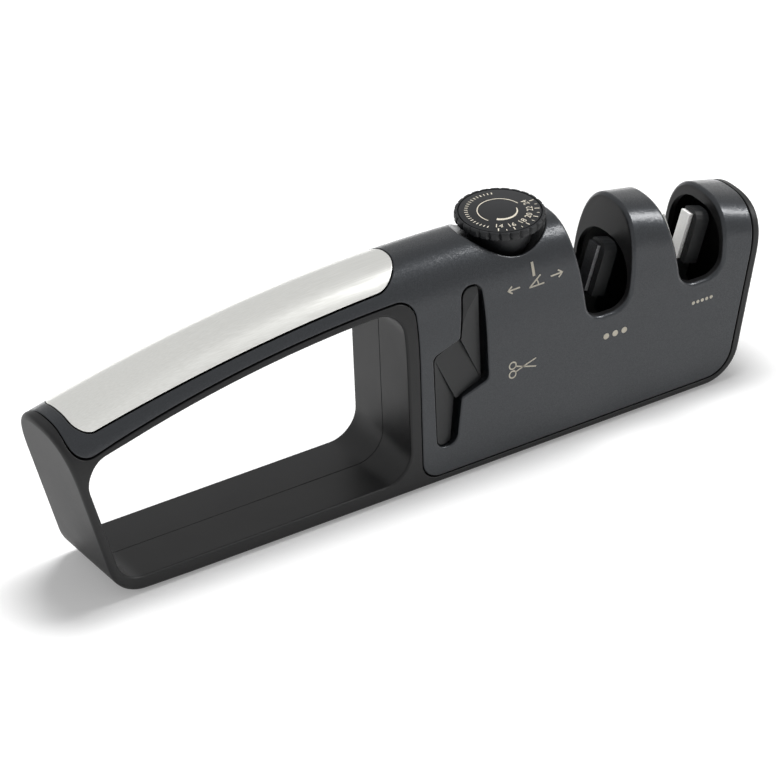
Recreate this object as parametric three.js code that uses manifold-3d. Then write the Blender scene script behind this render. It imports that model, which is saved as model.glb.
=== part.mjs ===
// Pull-through knife sharpener with an adjustable sharpening angle.
// Millimetres. +Z is up, +X runs from the handle to the sharpening notches, -Y is the printed front.
// The origin is the middle of the base, on the table.

import * as THREE from 'three';
import { mergeVertices } from 'three/addons/utils/BufferGeometryUtils.js';
import Module from 'manifold-3d';

const wasm = await Module();
wasm.setup();

// Body envelope
const THICKNESS = 30;
const SHOULDER_Z = 40; // the flat sides turn into the arched top here
const ARCH_POWER = 2.5; // roundness of the arch, 2 is an ellipse
const RIDGE_RADIUS = 420; // the top line is one long arc
const RIDGE_APEX_X = -3.5;
const RIDGE_APEX_Z = 74;
const LEFT_FOOT_X = -103.2; // where the two slanted ends meet the base
const LEFT_LEAN = 0.3; // outward run of the left end for each unit of height
const RIGHT_FOOT_X = 110.1;
const RIGHT_LEAN = 0.195;
const BASE_CORNER = 12;
const PAD_STAND = 0.8; // the rubber pads hold the frame off the table

// Walls and clearances
const GAP = 0.3;
const COVER_WALL = 1.8;
const FRAME_WALL = 2;
const END_WALL = 2.6;
const FLOOR_Z = 5;
const PARTING = 0.15; // half of the gap between the frame halves

// Handle window
const LEG = 2.8;
const BAR = 4.8; // bottom bar under the window
const WINDOW_DROP = 12; // from the ridge down to the top of the window
const WINDOW_WALL_X = -3.9; // right wall of the window at the base
const WINDOW_WALL_LEAN = -0.07;
const WINDOW_LOW_CORNER = 9;
const WINDOW_TOP_CORNER = 8;

// Cover outline
const COVER_LEFT_X = -117;
const COVER_DROP = 9.7; // from the ridge down to the cover's edge along the handle
const COVER_WALL_X = -0.2; // the cover's edge beside the window, at the base
const COVER_WALL_LEAN = -0.05;
const COVER_BASE = 3.2;
const COVER_RIM = 2.9; // black rim left at the right end
const COVER_CORNER = 6;

// Handle plate
const PLATE_LEFT_X = -113.2;
const PLATE_RIGHT_X = -3.6;
const PLATE_HALF_LEFT = 10.9;
const PLATE_HALF_RIGHT = 9.8;
const PLATE_CORNER = 5.5;
const PLATE_RIGHT_CORNER = 9.4;
const PLATE_SHEET = 0.7;

// Notches
const COARSE_X = 64.35;
const FINE_X = 97.55;
const NOTCH_FLOOR_Z = 37.8;
const NOTCH_HALF = 6.9; // half width at the floor
const NOTCH_TAPER = 0.14;
const NOTCH_CORNER = 6;

// Angle dial
const DIAL_X = 35.75;
const DIAL_RADIUS = 13.3;
const DIAL_STAND = 2.74; // how far the dial's face stands above the ridge
const DIAL_HEIGHT = 8.6; // from the face down to the knob's underside
const DIAL_RIM = 3.2; // height of the fluted rim
const DIAL_FLUTES = 26;
const FLUTE_STEPS = 4; // outline points for each flute
const FLUTE_DEPTH = 0.45;
const DIAL_HUB_RADIUS = 9;
const FACE_RADIUS = 12;
const FACE_SHEET = 1;
const PRESS_TRAVEL = 1.5;
const DISH_CLEARANCE = 4.5; // from the knob's underside down to the floor of its dish
const DISH_FLOOR_RADIUS = 8.9;
const DISH_SLOPE = 0.59; // radius gained for each unit of height
const DEGREES_PER_MARK = 25;
const ANGLE_PER_MARK = 2;

// Dial shaft and pinion
const SHAFT_RADIUS = 2.6;
const SHAFT_END_RADIUS = 1.4;
const SHAFT_SQUARE = 4.4;
const SHAFT_FOOT_Z = 14.8;
const COLLAR_RADIUS = 4.8;
const COLLAR_HEIGHT = 1.5;
const BUSH_RADIUS = 4.4;
const BUSH_FLANGE_RADIUS = 6;
const BUSH_FLANGE = 1;
const SHELF_HEIGHT = 5;
const SHELF_HALF = 6;
const PINION_TEETH = 10;
const MODULE = 0.5;
const TOOTH_ADDENDUM = 0.4;
const TOOTH_DEDENDUM = 0.6;
const TOOTH_WIDTH = 0.45; // half width at the root, thin for running clearance
const TOOTH_TIP_WIDTH = 0.15; // half width at the tip
const RACK_TEETH = 8;
const KNOB_SCREW_RADIUS = 0.9;
const KNOB_SCREW_HEAD_RADIUS = 4.2;
const KNOB_SCREW_HEAD = 1.2;
const KNOB_SCREW_LENGTH = 6;
const SPRING_RADIUS = 4;
const SPRING_WIRE = 0.7;
const SPRING_LENGTH = 8.5; // from the shaft's collar up to the knob
const SPRING_TURNS = 5;
const SPRING_STEPS = 8; // for each turn
const WIRE_SIDES = 5;

// Holder arms and abrasive bars
const REST_LEAN = 18; // degrees from upright, the mark that the dial shows
const LEAN_MIN = 14;
const LEAN_MAX = 24;
const PIVOT_Z = 31;
const PIVOT_RADIUS = 1.5;
const HUB_RADIUS = 3.4;
const ARM_SIDE = 4; // thickness of hub, neck and lever along Y
const ARM_FACE = 3.45; // from the pivot's axis to the holder's face, on the notch side
const ARM_BACK = 1.25; // from the pivot's axis to the holder's back
const ARM_WIDTH = 7; // from mid-thickness to the holder's outer side
const ARM_FOOT = 8.5; // distance from the pivot to the holder's lower edge
const COARSE_ARM = 25;
const FINE_ARM = 24.6;
const ARM_CORNER = 3.2;
const ARM_INNER_CORNER = 1.4;
const ARM_ROOM = 3.4; // room beside the holders in the frame
const ARM_ROOM_CORNER = 7;
const BAR_WIDTH = 4.1;
const BAR_THICKNESS = 2.6;
const BAR_PROUD = 1; // how far the bar stands out of the holder's face
const BAR_FOOT = 9;
const BAR_TOP_MARGIN = 1.5;
const LEVER_X = 4;
const LEVER_Z = -8;
const LEVER_RADIUS = 2.4;
const DRIVE_PIN_RADIUS = 1.1;

// Angle slider
const SLIDER_FRONT_Y = -8;
const SLIDER_SHEET = 3;
const SLIDER_BASE_Z = 19.5;
const SLIDER_HEIGHT = 7.5;
const SLIDER_END = 1.6; // material past the last slot
const RACK_HALF = 8;
const RAIL = 2;

// Scissors slot, its guide and its rods
const SLOT_UPPER_X = 17.3; // middle of the upper and lower slots
const SLOT_LOWER_X = 7.9;
const SLOT_HALF = 5; // half width beside the step
const SLOT_END_HALF = 3.4; // half width at the rounded ends
const SLOT_TOP_Z = 62;
const SLOT_BOTTOM_Z = 12.2;
const SLOT_STEP_TOP_Z = 47; // where the upper slot's left side meets the step
const SLOT_STEP_BOTTOM_Z = 27;
const SLOT_STEP_RISE = 3.2;
const GUIDE_RIM = 1.6;
const SLOT_ROUND = 3.2; // corner of the slot's ends
const STEP_ROUND = 2; // corners of the slanted step
const STEP_CREASE = 1;
const SLIT = 1.6; // left open at the right of each nose
const NOSE_DEPTH = 2.5; // how far a nose slopes into the slot
const ROD_RADIUS = 0.9;
const ROD_SUNK = 0.4;
const ROD_LENGTH = 26;

// Frame screws, three long ones along the base and two short ones in the handle
const SCREW_RADIUS = 1.1;
const SCREW_HEAD_RADIUS = 2.1;
const SCREW_HEAD = 1.6;
const SCREW_BOSS = 3.2;
const BASE_SCREW_X = 27;
const MIDDLE_SCREW_X = 62;
const BASE_SCREW_Z = 10.8;
const END_SCREW_X = 100.4;
const END_SCREW_Z = 12.6;
const BASE_SCREW_HEAD_Y = 12.6; // how far out the head sits
const BASE_SCREW_LENGTH = 18;
const TAIL_SCREW_X = -98.5;
const TAIL_SCREW_DROP = 6; // below the ridge
const NECK_SCREW_X = -9.5;
const NECK_SCREW_DROP = 7.4;
const HANDLE_SCREW_HEAD_Y = 6.4;
const HANDLE_SCREW_LENGTH = 12;

// Rubber base pads
const PAD_DEPTH = 2;
const PAD_HALF_WIDTH = 10;
const PAD_CORNER = 4;
const BODY_PAD_LEFT_X = 8;
const BODY_PAD_RIGHT_X = 96;
const TAIL_PAD_LEFT_X = -90;
const TAIL_PAD_RIGHT_X = -62;

// Finishes
const finish = (color, roughness, metalness = 0) => (
  new THREE.MeshStandardMaterial({ color, roughness, metalness })
);
const FRAME_BLACK = finish(0x1b1c1e, 0.5);
const GUNMETAL = finish(0x32363b, 0.4, 0.4);
const STEEL = finish(0xd9d8d4, 0.28, 1);
const DARK_PLASTIC = finish(0x232426, 0.45);
const ACETAL = finish(0xdcdad2, 0.4);
const DIAMOND = finish(0x3a3b3d, 0.8);
const CERAMIC = finish(0xf1efe9, 0.35);
const RUBBER = finish(0x161616, 0.85);

const OUTSIDE = 60; // larger than the body, for cuts that run right through
const SKY_Z = 100;
const OVERLAP = 1; // how far joined or cut pieces run into each other
const ARC_STEP = Math.PI / 8;
const ROUND_SIDES = 16;
const FINE_SIDES = 32;
const SCREW_SIDES = 12;
const ARCH_STATIONS = 14; // cross sections along the body
const ARCH_POINTS = 16; // steps round each arch
const FOOT_POINTS = 2; // one more point below each side of an arch
const HANDLE_STEPS = 6; // straight runs along the handle's edges
const CAPSULE_POINTS = 8;
const half = THICKNESS / 2;
const seatInset = COVER_WALL + GAP;
const cavityInset = seatInset + FRAME_WALL;
const radians = THREE.MathUtils.degToRad;

// Solids
function solid(geometry) {
  geometry.deleteAttribute('normal');
  geometry.deleteAttribute('uv');
  const merged = mergeVertices(geometry, 1e-4);
  const corners = merged.index.array;
  const triangles = [];
  for (let i = 0; i < corners.length; i += 3) {
    const [a, b, c] = corners.subarray(i, i + 3);
    if (a !== b && b !== c && c !== a) triangles.push(a, b, c);
  }
  return new wasm.Manifold(new wasm.Mesh({
    numProp: 3,
    vertProperties: new Float32Array(merged.attributes.position.array),
    triVerts: new Uint32Array(triangles),
  }));
}

const join = (first, ...others) => others.reduce((body, other) => body.add(other), first);
const cut = (first, ...others) => others.reduce((body, other) => body.subtract(other), first);
const common = (first, ...others) => others.reduce((body, other) => body.intersect(other), first);

const part = new THREE.Group();

function addPart(name, body, material, parent = part) {
  const { vertProperties, triVerts } = body.getMesh();
  const geometry = new THREE.BufferGeometry();
  geometry.setAttribute('position', new THREE.BufferAttribute(vertProperties, 3));
  geometry.setIndex(new THREE.BufferAttribute(triVerts, 1));
  geometry.computeVertexNormals();
  const mesh = new THREE.Mesh(geometry, material);
  mesh.name = name;
  parent.add(mesh);
  return mesh;
}

// Closed outline with rounded corners; each corner is [x, y, radius].
function outline(corners) {
  const points = [];
  corners.forEach(([x, y, radius = 0], i) => {
    const corner = new THREE.Vector2(x, y);
    if (!radius) {
      points.push(corner);
      return;
    }
    const [px, py] = corners[(i + corners.length - 1) % corners.length];
    const [nx, ny] = corners[(i + 1) % corners.length];
    const back = new THREE.Vector2(px, py).sub(corner).normalize();
    const ahead = new THREE.Vector2(nx, ny).sub(corner).normalize();
    const opening = Math.acos(THREE.MathUtils.clamp(back.dot(ahead), -1, 1));
    const middle = back.clone().add(ahead).normalize();
    const centre = middle.multiplyScalar(radius / Math.sin(opening / 2)).add(corner);
    const reach = radius / Math.tan(opening / 2);
    const start = back.multiplyScalar(reach).add(corner).sub(centre);
    const end = ahead.multiplyScalar(reach).add(corner).sub(centre);
    const turn = Math.sign(start.cross(end)) * (Math.PI - opening);
    const steps = Math.max(1, Math.ceil(Math.abs(turn) / ARC_STEP));
    for (let k = 0; k <= steps; k += 1) {
      points.push(start.clone().rotateAround(new THREE.Vector2(), (turn * k) / steps).add(centre));
    }
  });
  return points;
}

const raised = (points, depth) => (
  new THREE.ExtrudeGeometry(new THREE.Shape(points), { depth, bevelEnabled: false })
);

// An XZ outline made into a plate between two Y planes.
function plate(points, y0 = -OUTSIDE, y1 = OUTSIDE) {
  return solid(raised(points, y1 - y0).rotateX(Math.PI / 2).translate(0, y1, 0));
}

// A YZ outline made into a slab between two X planes.
function slab(points, x0, x1) {
  const axes = new THREE.Matrix4().makeBasis(
    new THREE.Vector3(0, 1, 0),
    new THREE.Vector3(0, 0, 1),
    new THREE.Vector3(1, 0, 0),
  );
  return solid(raised(points, x1 - x0).applyMatrix4(axes).translate(x0, 0, 0));
}

// An XY outline made into a block between two heights.
function block(points, z0, z1) {
  return solid(raised(points, z1 - z0).translate(0, 0, z0));
}

const box = (x0, x1, y0, y1, z0, z1) => solid(new THREE.BoxGeometry(x1 - x0, y1 - y0, z1 - z0)
  .translate((x0 + x1) / 2, (y0 + y1) / 2, (z0 + z1) / 2));

const pinY = (x, z, radius, y0, y1, sides = ROUND_SIDES) => solid(
  new THREE.CylinderGeometry(radius, radius, y1 - y0, sides).translate(x, (y0 + y1) / 2, z),
);

const pinZ = (x, y, radius, z0, z1, topRadius = radius, sides = ROUND_SIDES) => solid(
  new THREE.CylinderGeometry(topRadius, radius, z1 - z0, sides)
    .rotateX(Math.PI / 2)
    .translate(x, y, (z0 + z1) / 2),
);

// Body surfaces
const ridgeZ = (x, inset = 0) => RIDGE_APEX_Z - RIDGE_RADIUS
  + Math.sqrt((RIDGE_RADIUS - inset) ** 2 - (x - RIDGE_APEX_X) ** 2);
const leftEndX = (z) => LEFT_FOOT_X - LEFT_LEAN * z;
const rightEndX = (z) => RIGHT_FOOT_X + RIGHT_LEAN * z;

// Heights of what hangs on the dial, from its top down
const dialTopZ = ridgeZ(DIAL_X) + DIAL_STAND;
const dialHubZ = dialTopZ - DIAL_HEIGHT;
const dishFloorZ = dialHubZ - DISH_CLEARANCE;
const collarTopZ = dialHubZ - SPRING_LENGTH;
const collarZ = collarTopZ - COLLAR_HEIGHT;
const bushTopZ = collarZ;
const shelfTopZ = bushTopZ - BUSH_FLANGE - GAP;
const shelfZ = shelfTopZ - SHELF_HEIGHT;

// The arched bar that the whole body is cut from, set in from the outer surface by a distance.
function arch(inset) {
  const reach = rightEndX(SHOULDER_Z) + 2 * END_WALL + half;
  const y = half - inset;
  const positions = [];
  const triangles = [];
  for (let i = 0; i <= ARCH_STATIONS; i += 1) {
    const x = -reach + (2 * reach * i) / ARCH_STATIONS;
    const rise = ridgeZ(x, inset) - SHOULDER_Z;
    positions.push(x, -y, -half);
    for (let k = 0; k <= ARCH_POINTS; k += 1) {
      const angle = (Math.PI * k) / ARCH_POINTS;
      const across = Math.abs(Math.cos(angle)) ** (2 / ARCH_POWER) * Math.sign(Math.cos(angle));
      positions.push(x, -y * across, SHOULDER_Z + rise * Math.abs(Math.sin(angle)) ** (2 / ARCH_POWER));
    }
    positions.push(x, y, -half);
  }
  const ring = ARCH_POINTS + 1 + FOOT_POINTS;
  for (let i = 0; i < ARCH_STATIONS; i += 1) {
    for (let k = 0; k < ring; k += 1) {
      const a = i * ring + k;
      const b = i * ring + ((k + 1) % ring);
      triangles.push(a, b, a + ring, b, b + ring, a + ring);
    }
  }
  const last = ARCH_STATIONS * ring;
  for (let k = 1; k < ring - 1; k += 1) {
    triangles.push(0, k + 1, k, last, last + k, last + k + 1);
  }
  const geometry = new THREE.BufferGeometry();
  geometry.setAttribute('position', new THREE.Float32BufferAttribute(positions, 3));
  geometry.setIndex(triangles.reverse());
  return solid(geometry);
}

// Points along an arc that runs below the ridge, for the handle's edges.
function handleArc(drop, x0, x1) {
  return Array.from({ length: HANDLE_STEPS + 1 }, (_, i) => {
    const x = x0 + ((x1 - x0) * i) / HANDLE_STEPS;
    return [x, ridgeZ(x, drop)];
  });
}

const baseScrew = (x, z) => ({ x, z, headY: BASE_SCREW_HEAD_Y, length: BASE_SCREW_LENGTH });
const handleScrew = (x, drop) => (
  { x, z: ridgeZ(x, drop), headY: HANDLE_SCREW_HEAD_Y, length: HANDLE_SCREW_LENGTH }
);
const screws = [
  baseScrew(BASE_SCREW_X, BASE_SCREW_Z),
  baseScrew(MIDDLE_SCREW_X, BASE_SCREW_Z),
  baseScrew(END_SCREW_X, END_SCREW_Z),
  handleScrew(TAIL_SCREW_X, TAIL_SCREW_DROP),
  handleScrew(NECK_SCREW_X, NECK_SCREW_DROP),
];
const screwTip = (screw) => screw.headY - screw.length;
const pads = {
  base_pad_body: [BODY_PAD_LEFT_X, BODY_PAD_RIGHT_X],
  base_pad_tail: [TAIL_PAD_LEFT_X, TAIL_PAD_RIGHT_X],
};

const frameOutline = outline([
  [leftEndX(PAD_STAND), PAD_STAND, BASE_CORNER],
  [rightEndX(PAD_STAND), PAD_STAND, BASE_CORNER],
  [rightEndX(SKY_Z), SKY_Z],
  [leftEndX(SKY_Z), SKY_Z],
]);

const barTopZ = PAD_STAND + BAR;
const windowLeftX = (z) => leftEndX(z) + LEG;
const windowRightX = (z) => WINDOW_WALL_X + WINDOW_WALL_LEAN * z;
const windowArc = handleArc(WINDOW_DROP, windowLeftX(SHOULDER_Z), windowRightX(SHOULDER_Z));
const windowOutline = outline([
  [windowLeftX(barTopZ), barTopZ, BASE_CORNER - LEG],
  [windowRightX(barTopZ), barTopZ, WINDOW_LOW_CORNER],
  [...windowArc[HANDLE_STEPS], WINDOW_TOP_CORNER],
  ...windowArc.slice(1, HANDLE_STEPS).reverse(),
  [windowLeftX(windowArc[0][1]), windowArc[0][1], WINDOW_TOP_CORNER],
]);

// The cover's outline from the side, grown by a gap for the seat in the frame.
function coverOutline(grow) {
  const leftX = COVER_LEFT_X - grow;
  const edgeX = (z) => COVER_WALL_X + COVER_WALL_LEAN * z - grow;
  const arc = handleArc(COVER_DROP + grow, leftX, edgeX(SHOULDER_Z));
  const rimX = (z) => rightEndX(z) - COVER_RIM + grow;
  const baseZ = COVER_BASE - grow;
  return outline([
    [leftX, SKY_Z],
    [...arc[0], COVER_CORNER],
    ...arc.slice(1, HANDLE_STEPS),
    [...arc[HANDLE_STEPS], COVER_CORNER],
    [edgeX(baseZ), baseZ, COVER_CORNER],
    [rimX(baseZ), baseZ, BASE_CORNER - COVER_RIM],
    [rimX(SKY_Z), SKY_Z],
  ]);
}

function notchOutline(x, grow = 0) {
  const floor = NOTCH_FLOOR_Z - grow;
  const width = NOTCH_HALF + grow;
  const top = width + NOTCH_TAPER * (SKY_Z - floor);
  return outline([
    [x - top, SKY_Z],
    [x - width, floor, NOTCH_CORNER],
    [x + width, floor, NOTCH_CORNER],
    [x + top, SKY_Z],
  ]);
}

// Stepped scissors slot: an upper and a lower slot joined by a slanted step.
const upperLeft = SLOT_UPPER_X - SLOT_HALF;
const upperRight = SLOT_UPPER_X + SLOT_HALF;
const lowerLeft = SLOT_LOWER_X - SLOT_HALF;
const lowerRight = SLOT_LOWER_X + SLOT_HALF;
const stepRightZ = SLOT_STEP_BOTTOM_Z + SLOT_STEP_RISE;
const stepLeftZ = SLOT_STEP_TOP_Z - SLOT_STEP_RISE;
function slotOutline(grow) {
  const round = SLOT_ROUND + grow;
  const end = SLOT_END_HALF + grow;
  return outline([
    [SLOT_UPPER_X - end, SLOT_TOP_Z + grow, round],
    [SLOT_UPPER_X + end, SLOT_TOP_Z + grow, round],
    [upperRight + grow, stepRightZ - grow, STEP_ROUND],
    [lowerRight + grow, SLOT_STEP_BOTTOM_Z - grow, STEP_CREASE],
    [SLOT_LOWER_X + end, SLOT_BOTTOM_Z - grow, round],
    [SLOT_LOWER_X - end, SLOT_BOTTOM_Z - grow, round],
    [lowerLeft - grow, stepLeftZ + grow, STEP_ROUND],
    [upperLeft - grow, SLOT_STEP_TOP_Z + grow, STEP_CREASE],
  ]);
}

function handlePlateOutline(grow) {
  return outline([
    [PLATE_LEFT_X - grow, -PLATE_HALF_LEFT - grow, PLATE_CORNER],
    [PLATE_RIGHT_X + grow, -PLATE_HALF_RIGHT - grow, PLATE_RIGHT_CORNER],
    [PLATE_RIGHT_X + grow, PLATE_HALF_RIGHT + grow, PLATE_RIGHT_CORNER],
    [PLATE_LEFT_X - grow, PLATE_HALF_LEFT + grow, PLATE_CORNER],
  ]);
}

const outer = arch(0);
const seat = arch(seatInset);
const notches = [COARSE_X, FINE_X];
const notchCuts = notches.map((x) => plate(notchOutline(x)));

// Dish that the dial sits in, and the funnel round it
const dishRadius = (z) => DISH_FLOOR_RADIUS + DISH_SLOPE * (z - dishFloorZ);
const cone = (z0, z1, extra) => (
  pinZ(DIAL_X, 0, dishRadius(z0) + extra, z0, z1, dishRadius(z1) + extra, FINE_SIDES)
);
const dish = cone(dishFloorZ, SKY_Z, 0);
const funnelBase = dishFloorZ - COVER_WALL;
const springHole = COLLAR_RADIUS + GAP;

// Top cover
const plateBed = cut(block(handlePlateOutline(GAP), SHOULDER_Z, SKY_Z), arch(PLATE_SHEET + GAP));
const coverShell = common(cut(outer, arch(COVER_WALL)), plate(coverOutline(0)));
const funnel = common(cone(funnelBase, SKY_Z, COVER_WALL), outer);
addPart('top_cover', cut(
  join(coverShell, funnel),
  dish,
  pinZ(DIAL_X, 0, springHole, funnelBase - OVERLAP, dishFloorZ + OVERLAP),
  ...notchCuts,
  plate(slotOutline(0)),
  plateBed,
), GUNMETAL);

addPart('handle_plate', common(
  cut(outer, arch(PLATE_SHEET)),
  block(handlePlateOutline(0), SHOULDER_Z, SKY_Z),
), STEEL);

// Frame, made whole and then split at mid-thickness
const steepest = radians(LEAN_MIN);
const armTopZ = (length) => PIVOT_Z + length * Math.cos(steepest) + ARM_FACE * Math.sin(steepest);
const armRoomHalf = ARM_WIDTH + ARM_ROOM;
const armReach = COARSE_ARM * Math.sin(radians(LEAN_MAX)) + ARM_BACK + FRAME_WALL;
const armRoom = (x, length) => slab(outline([
  [-armRoomHalf, PIVOT_Z + HUB_RADIUS - OVERLAP],
  [armRoomHalf, PIVOT_Z + HUB_RADIUS - OVERLAP],
  [armRoomHalf, armTopZ(length) + GAP, ARM_ROOM_CORNER],
  [-armRoomHalf, armTopZ(length) + GAP, ARM_ROOM_CORNER],
]), x - armReach, x + armReach);
const hubGap = PARTING + GAP / 2; // side play of the arm hubs at mid-thickness
const bossY = hubGap + ARM_SIDE + GAP;

const bodyCavity = outline([
  [windowRightX(SKY_Z) + END_WALL, SKY_Z],
  [windowRightX(FLOOR_Z) + END_WALL, FLOOR_Z, COVER_CORNER],
  [rightEndX(FLOOR_Z) - END_WALL, FLOOR_Z, BASE_CORNER - END_WALL],
  [rightEndX(SKY_Z) - END_WALL, SKY_Z],
]);
const handleCavity = outline([
  ...handleArc(WINDOW_DROP - FRAME_WALL, windowLeftX(SHOULDER_Z), windowRightX(SHOULDER_Z)),
  [windowRightX(SHOULDER_Z), SKY_Z],
  [windowLeftX(SHOULDER_Z), SKY_Z],
]);
const sliderTopZ = SLIDER_BASE_Z + SLIDER_HEIGHT;
const sliderBackY = SLIDER_FRONT_Y + SLIDER_SHEET;
const railBackY = sliderBackY + GAP;
const railTopZ = SLIDER_BASE_Z - GAP;
const guardZ = sliderTopZ + GAP;
const guardX = (COARSE_X + FINE_X) / 2;
const bearingZ = SHAFT_FOOT_Z - GAP;
const shelfLeftX = DIAL_X - SHELF_HALF;
const shelfRightX = DIAL_X + SHELF_HALF;
const kept = [
  ...notches.map((x) => plate(notchOutline(x, FRAME_WALL))),
  ...notches.map((x) => pinY(x, PIVOT_Z, PIVOT_RADIUS + FRAME_WALL, -half, -bossY)),
  ...notches.map((x) => pinY(x, PIVOT_Z, PIVOT_RADIUS + FRAME_WALL, bossY, half)),
  ...screws.map(({ x, z }) => pinY(x, z, SCREW_BOSS, -half, half)),
  box(shelfLeftX, shelfRightX, -half, half, shelfZ, shelfTopZ),
  box(shelfLeftX, shelfRightX, -half, half, bearingZ - RAIL, bearingZ + RAIL),
  box(shelfRightX, FINE_X + HUB_RADIUS, -half, railBackY, railTopZ - RAIL, railTopZ),
  box(guardX - RACK_HALF, guardX + RACK_HALF, -half, railBackY, guardZ, guardZ + RAIL),
];
const cavity = arch(cavityInset);
const hollow = cut(join(common(cavity, plate(bodyCavity)), common(cavity, plate(handleCavity))), ...kept);

const screwHoles = screws.map((screw) => join(
  pinY(screw.x, screw.z, SCREW_RADIUS + GAP, screwTip(screw) - GAP, half),
  pinY(screw.x, screw.z, SCREW_HEAD_RADIUS + GAP, screw.headY - SCREW_HEAD - GAP, half),
));
const padOutline = ([x0, x1], grow) => outline([
  [x0 - grow, -PAD_HALF_WIDTH - grow, PAD_CORNER],
  [x1 + grow, -PAD_HALF_WIDTH - grow, PAD_CORNER],
  [x1 + grow, PAD_HALF_WIDTH + grow, PAD_CORNER],
  [x0 - grow, PAD_HALF_WIDTH + grow, PAD_CORNER],
]);

const frame = cut(
  common(outer, plate(frameOutline)),
  common(plate(coverOutline(GAP)), cut(arch(-OVERLAP), seat)),
  plate(windowOutline),
  ...notchCuts,
  hollow,
  plate(slotOutline(GUIDE_RIM + GAP)),
  cone(funnelBase - GAP, SKY_Z, COVER_WALL + GAP),
  pinZ(DIAL_X, 0, COLLAR_RADIUS + FRAME_WALL, shelfTopZ, dishFloorZ),
  pinZ(DIAL_X, 0, BUSH_RADIUS + GAP, shelfZ - OVERLAP, shelfTopZ + OVERLAP),
  pinZ(DIAL_X, 0, SHAFT_END_RADIUS + GAP, bearingZ, bearingZ + 2 * RAIL),
  armRoom(COARSE_X, COARSE_ARM),
  armRoom(FINE_X, FINE_ARM),
  ...notches.map((x) => pinY(x, PIVOT_Z, PIVOT_RADIUS + GAP, -half, half)),
  ...screwHoles,
  ...Object.values(pads).map((span) => block(padOutline(span, GAP), 0, PAD_DEPTH + GAP)),
);
const halfSpace = (y0, y1) => box(leftEndX(SKY_Z), rightEndX(SKY_Z), y0, y1, 0, SKY_Z);
addPart('front_frame', common(frame, halfSpace(-OUTSIDE, -PARTING)), FRAME_BLACK);
addPart('rear_frame', common(frame, halfSpace(PARTING, OUTSIDE)), FRAME_BLACK);

screws.forEach((screw, i) => {
  addPart(`frame_screw_${i + 1}`, join(
    pinY(screw.x, screw.z, SCREW_RADIUS, screwTip(screw), screw.headY, SCREW_SIDES),
    pinY(screw.x, screw.z, SCREW_HEAD_RADIUS, screw.headY - SCREW_HEAD, screw.headY, SCREW_SIDES),
  ), STEEL);
});

Object.entries(pads).forEach(([name, span]) => {
  addPart(name, block(padOutline(span, 0), 0, PAD_DEPTH), RUBBER);
});

// Dial knob with its printed face
const rimOutline = Array.from({ length: DIAL_FLUTES * FLUTE_STEPS }, (_, i) => {
  const angle = (2 * Math.PI * i) / (DIAL_FLUTES * FLUTE_STEPS);
  const radius = DIAL_RADIUS - FLUTE_DEPTH * Math.abs(Math.cos((angle * DIAL_FLUTES) / 2)) ** 3;
  return new THREE.Vector2(DIAL_X + radius * Math.cos(angle), radius * Math.sin(angle));
});
const faceBedZ = dialTopZ - FACE_SHEET - GAP;
const rimBaseZ = dialTopZ - DIAL_RIM;
const knobScrewTopZ = faceBedZ - PRESS_TRAVEL - GAP;
const knobScrewHeadZ = knobScrewTopZ - KNOB_SCREW_HEAD;
const shaftTopZ = knobScrewHeadZ - GAP;
const dialDisc = (radius, z0, z1, topRadius = radius) => (
  pinZ(DIAL_X, 0, radius, z0, z1, topRadius, FINE_SIDES)
);
const square = (side, z0, z1) => box(DIAL_X - side / 2, DIAL_X + side / 2, -side / 2, side / 2, z0, z1);
addPart('dial_knob', cut(
  join(
    block(rimOutline, rimBaseZ, dialTopZ),
    dialDisc(DIAL_HUB_RADIUS, dialHubZ, rimBaseZ, DIAL_RADIUS - 2 * FLUTE_DEPTH),
  ),
  dialDisc(FACE_RADIUS + GAP, faceBedZ, SKY_Z),
  pinZ(DIAL_X, 0, KNOB_SCREW_HEAD_RADIUS + GAP, shaftTopZ, SKY_Z),
  square(SHAFT_SQUARE + 2 * GAP, dialHubZ - OVERLAP, shaftTopZ + OVERLAP),
), DARK_PLASTIC);
addPart('dial_face', dialDisc(FACE_RADIUS, dialTopZ - FACE_SHEET, dialTopZ), DARK_PLASTIC);

// Dial shaft with its pinion
const pitchRadius = (MODULE * PINION_TEETH) / 2;
const rootRadius = pitchRadius - TOOTH_DEDENDUM;
const shaftAxis = new THREE.Vector2(DIAL_X, 0);
const pinionOutline = Array.from({ length: PINION_TEETH }, (_, i) => {
  const middle = (2 * Math.PI * i) / PINION_TEETH - Math.PI / 2;
  const point = (radius, width) => (
    new THREE.Vector2(radius, width).rotateAround(new THREE.Vector2(), middle).add(shaftAxis)
  );
  return [
    point(rootRadius, -TOOTH_WIDTH),
    point(pitchRadius + TOOTH_ADDENDUM, -TOOTH_TIP_WIDTH),
    point(pitchRadius + TOOTH_ADDENDUM, TOOTH_TIP_WIDTH),
    point(rootRadius, TOOTH_WIDTH),
  ];
}).flat();
const pinionBaseZ = SLIDER_BASE_Z + GAP;
const pinionTopZ = sliderTopZ + GAP;
addPart('dial_shaft', cut(
  join(
    pinZ(DIAL_X, 0, SHAFT_END_RADIUS, SHAFT_FOOT_Z, pinionBaseZ + OVERLAP),
    block(pinionOutline, pinionBaseZ, pinionTopZ + OVERLAP),
    pinZ(DIAL_X, 0, SHAFT_RADIUS, pinionTopZ, collarTopZ),
    pinZ(DIAL_X, 0, COLLAR_RADIUS, collarZ, collarTopZ),
    square(SHAFT_SQUARE, collarZ + OVERLAP, shaftTopZ - GAP),
  ),
  pinZ(DIAL_X, 0, KNOB_SCREW_RADIUS + GAP, shaftTopZ - KNOB_SCREW_LENGTH - GAP, SKY_Z),
), ACETAL);

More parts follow.
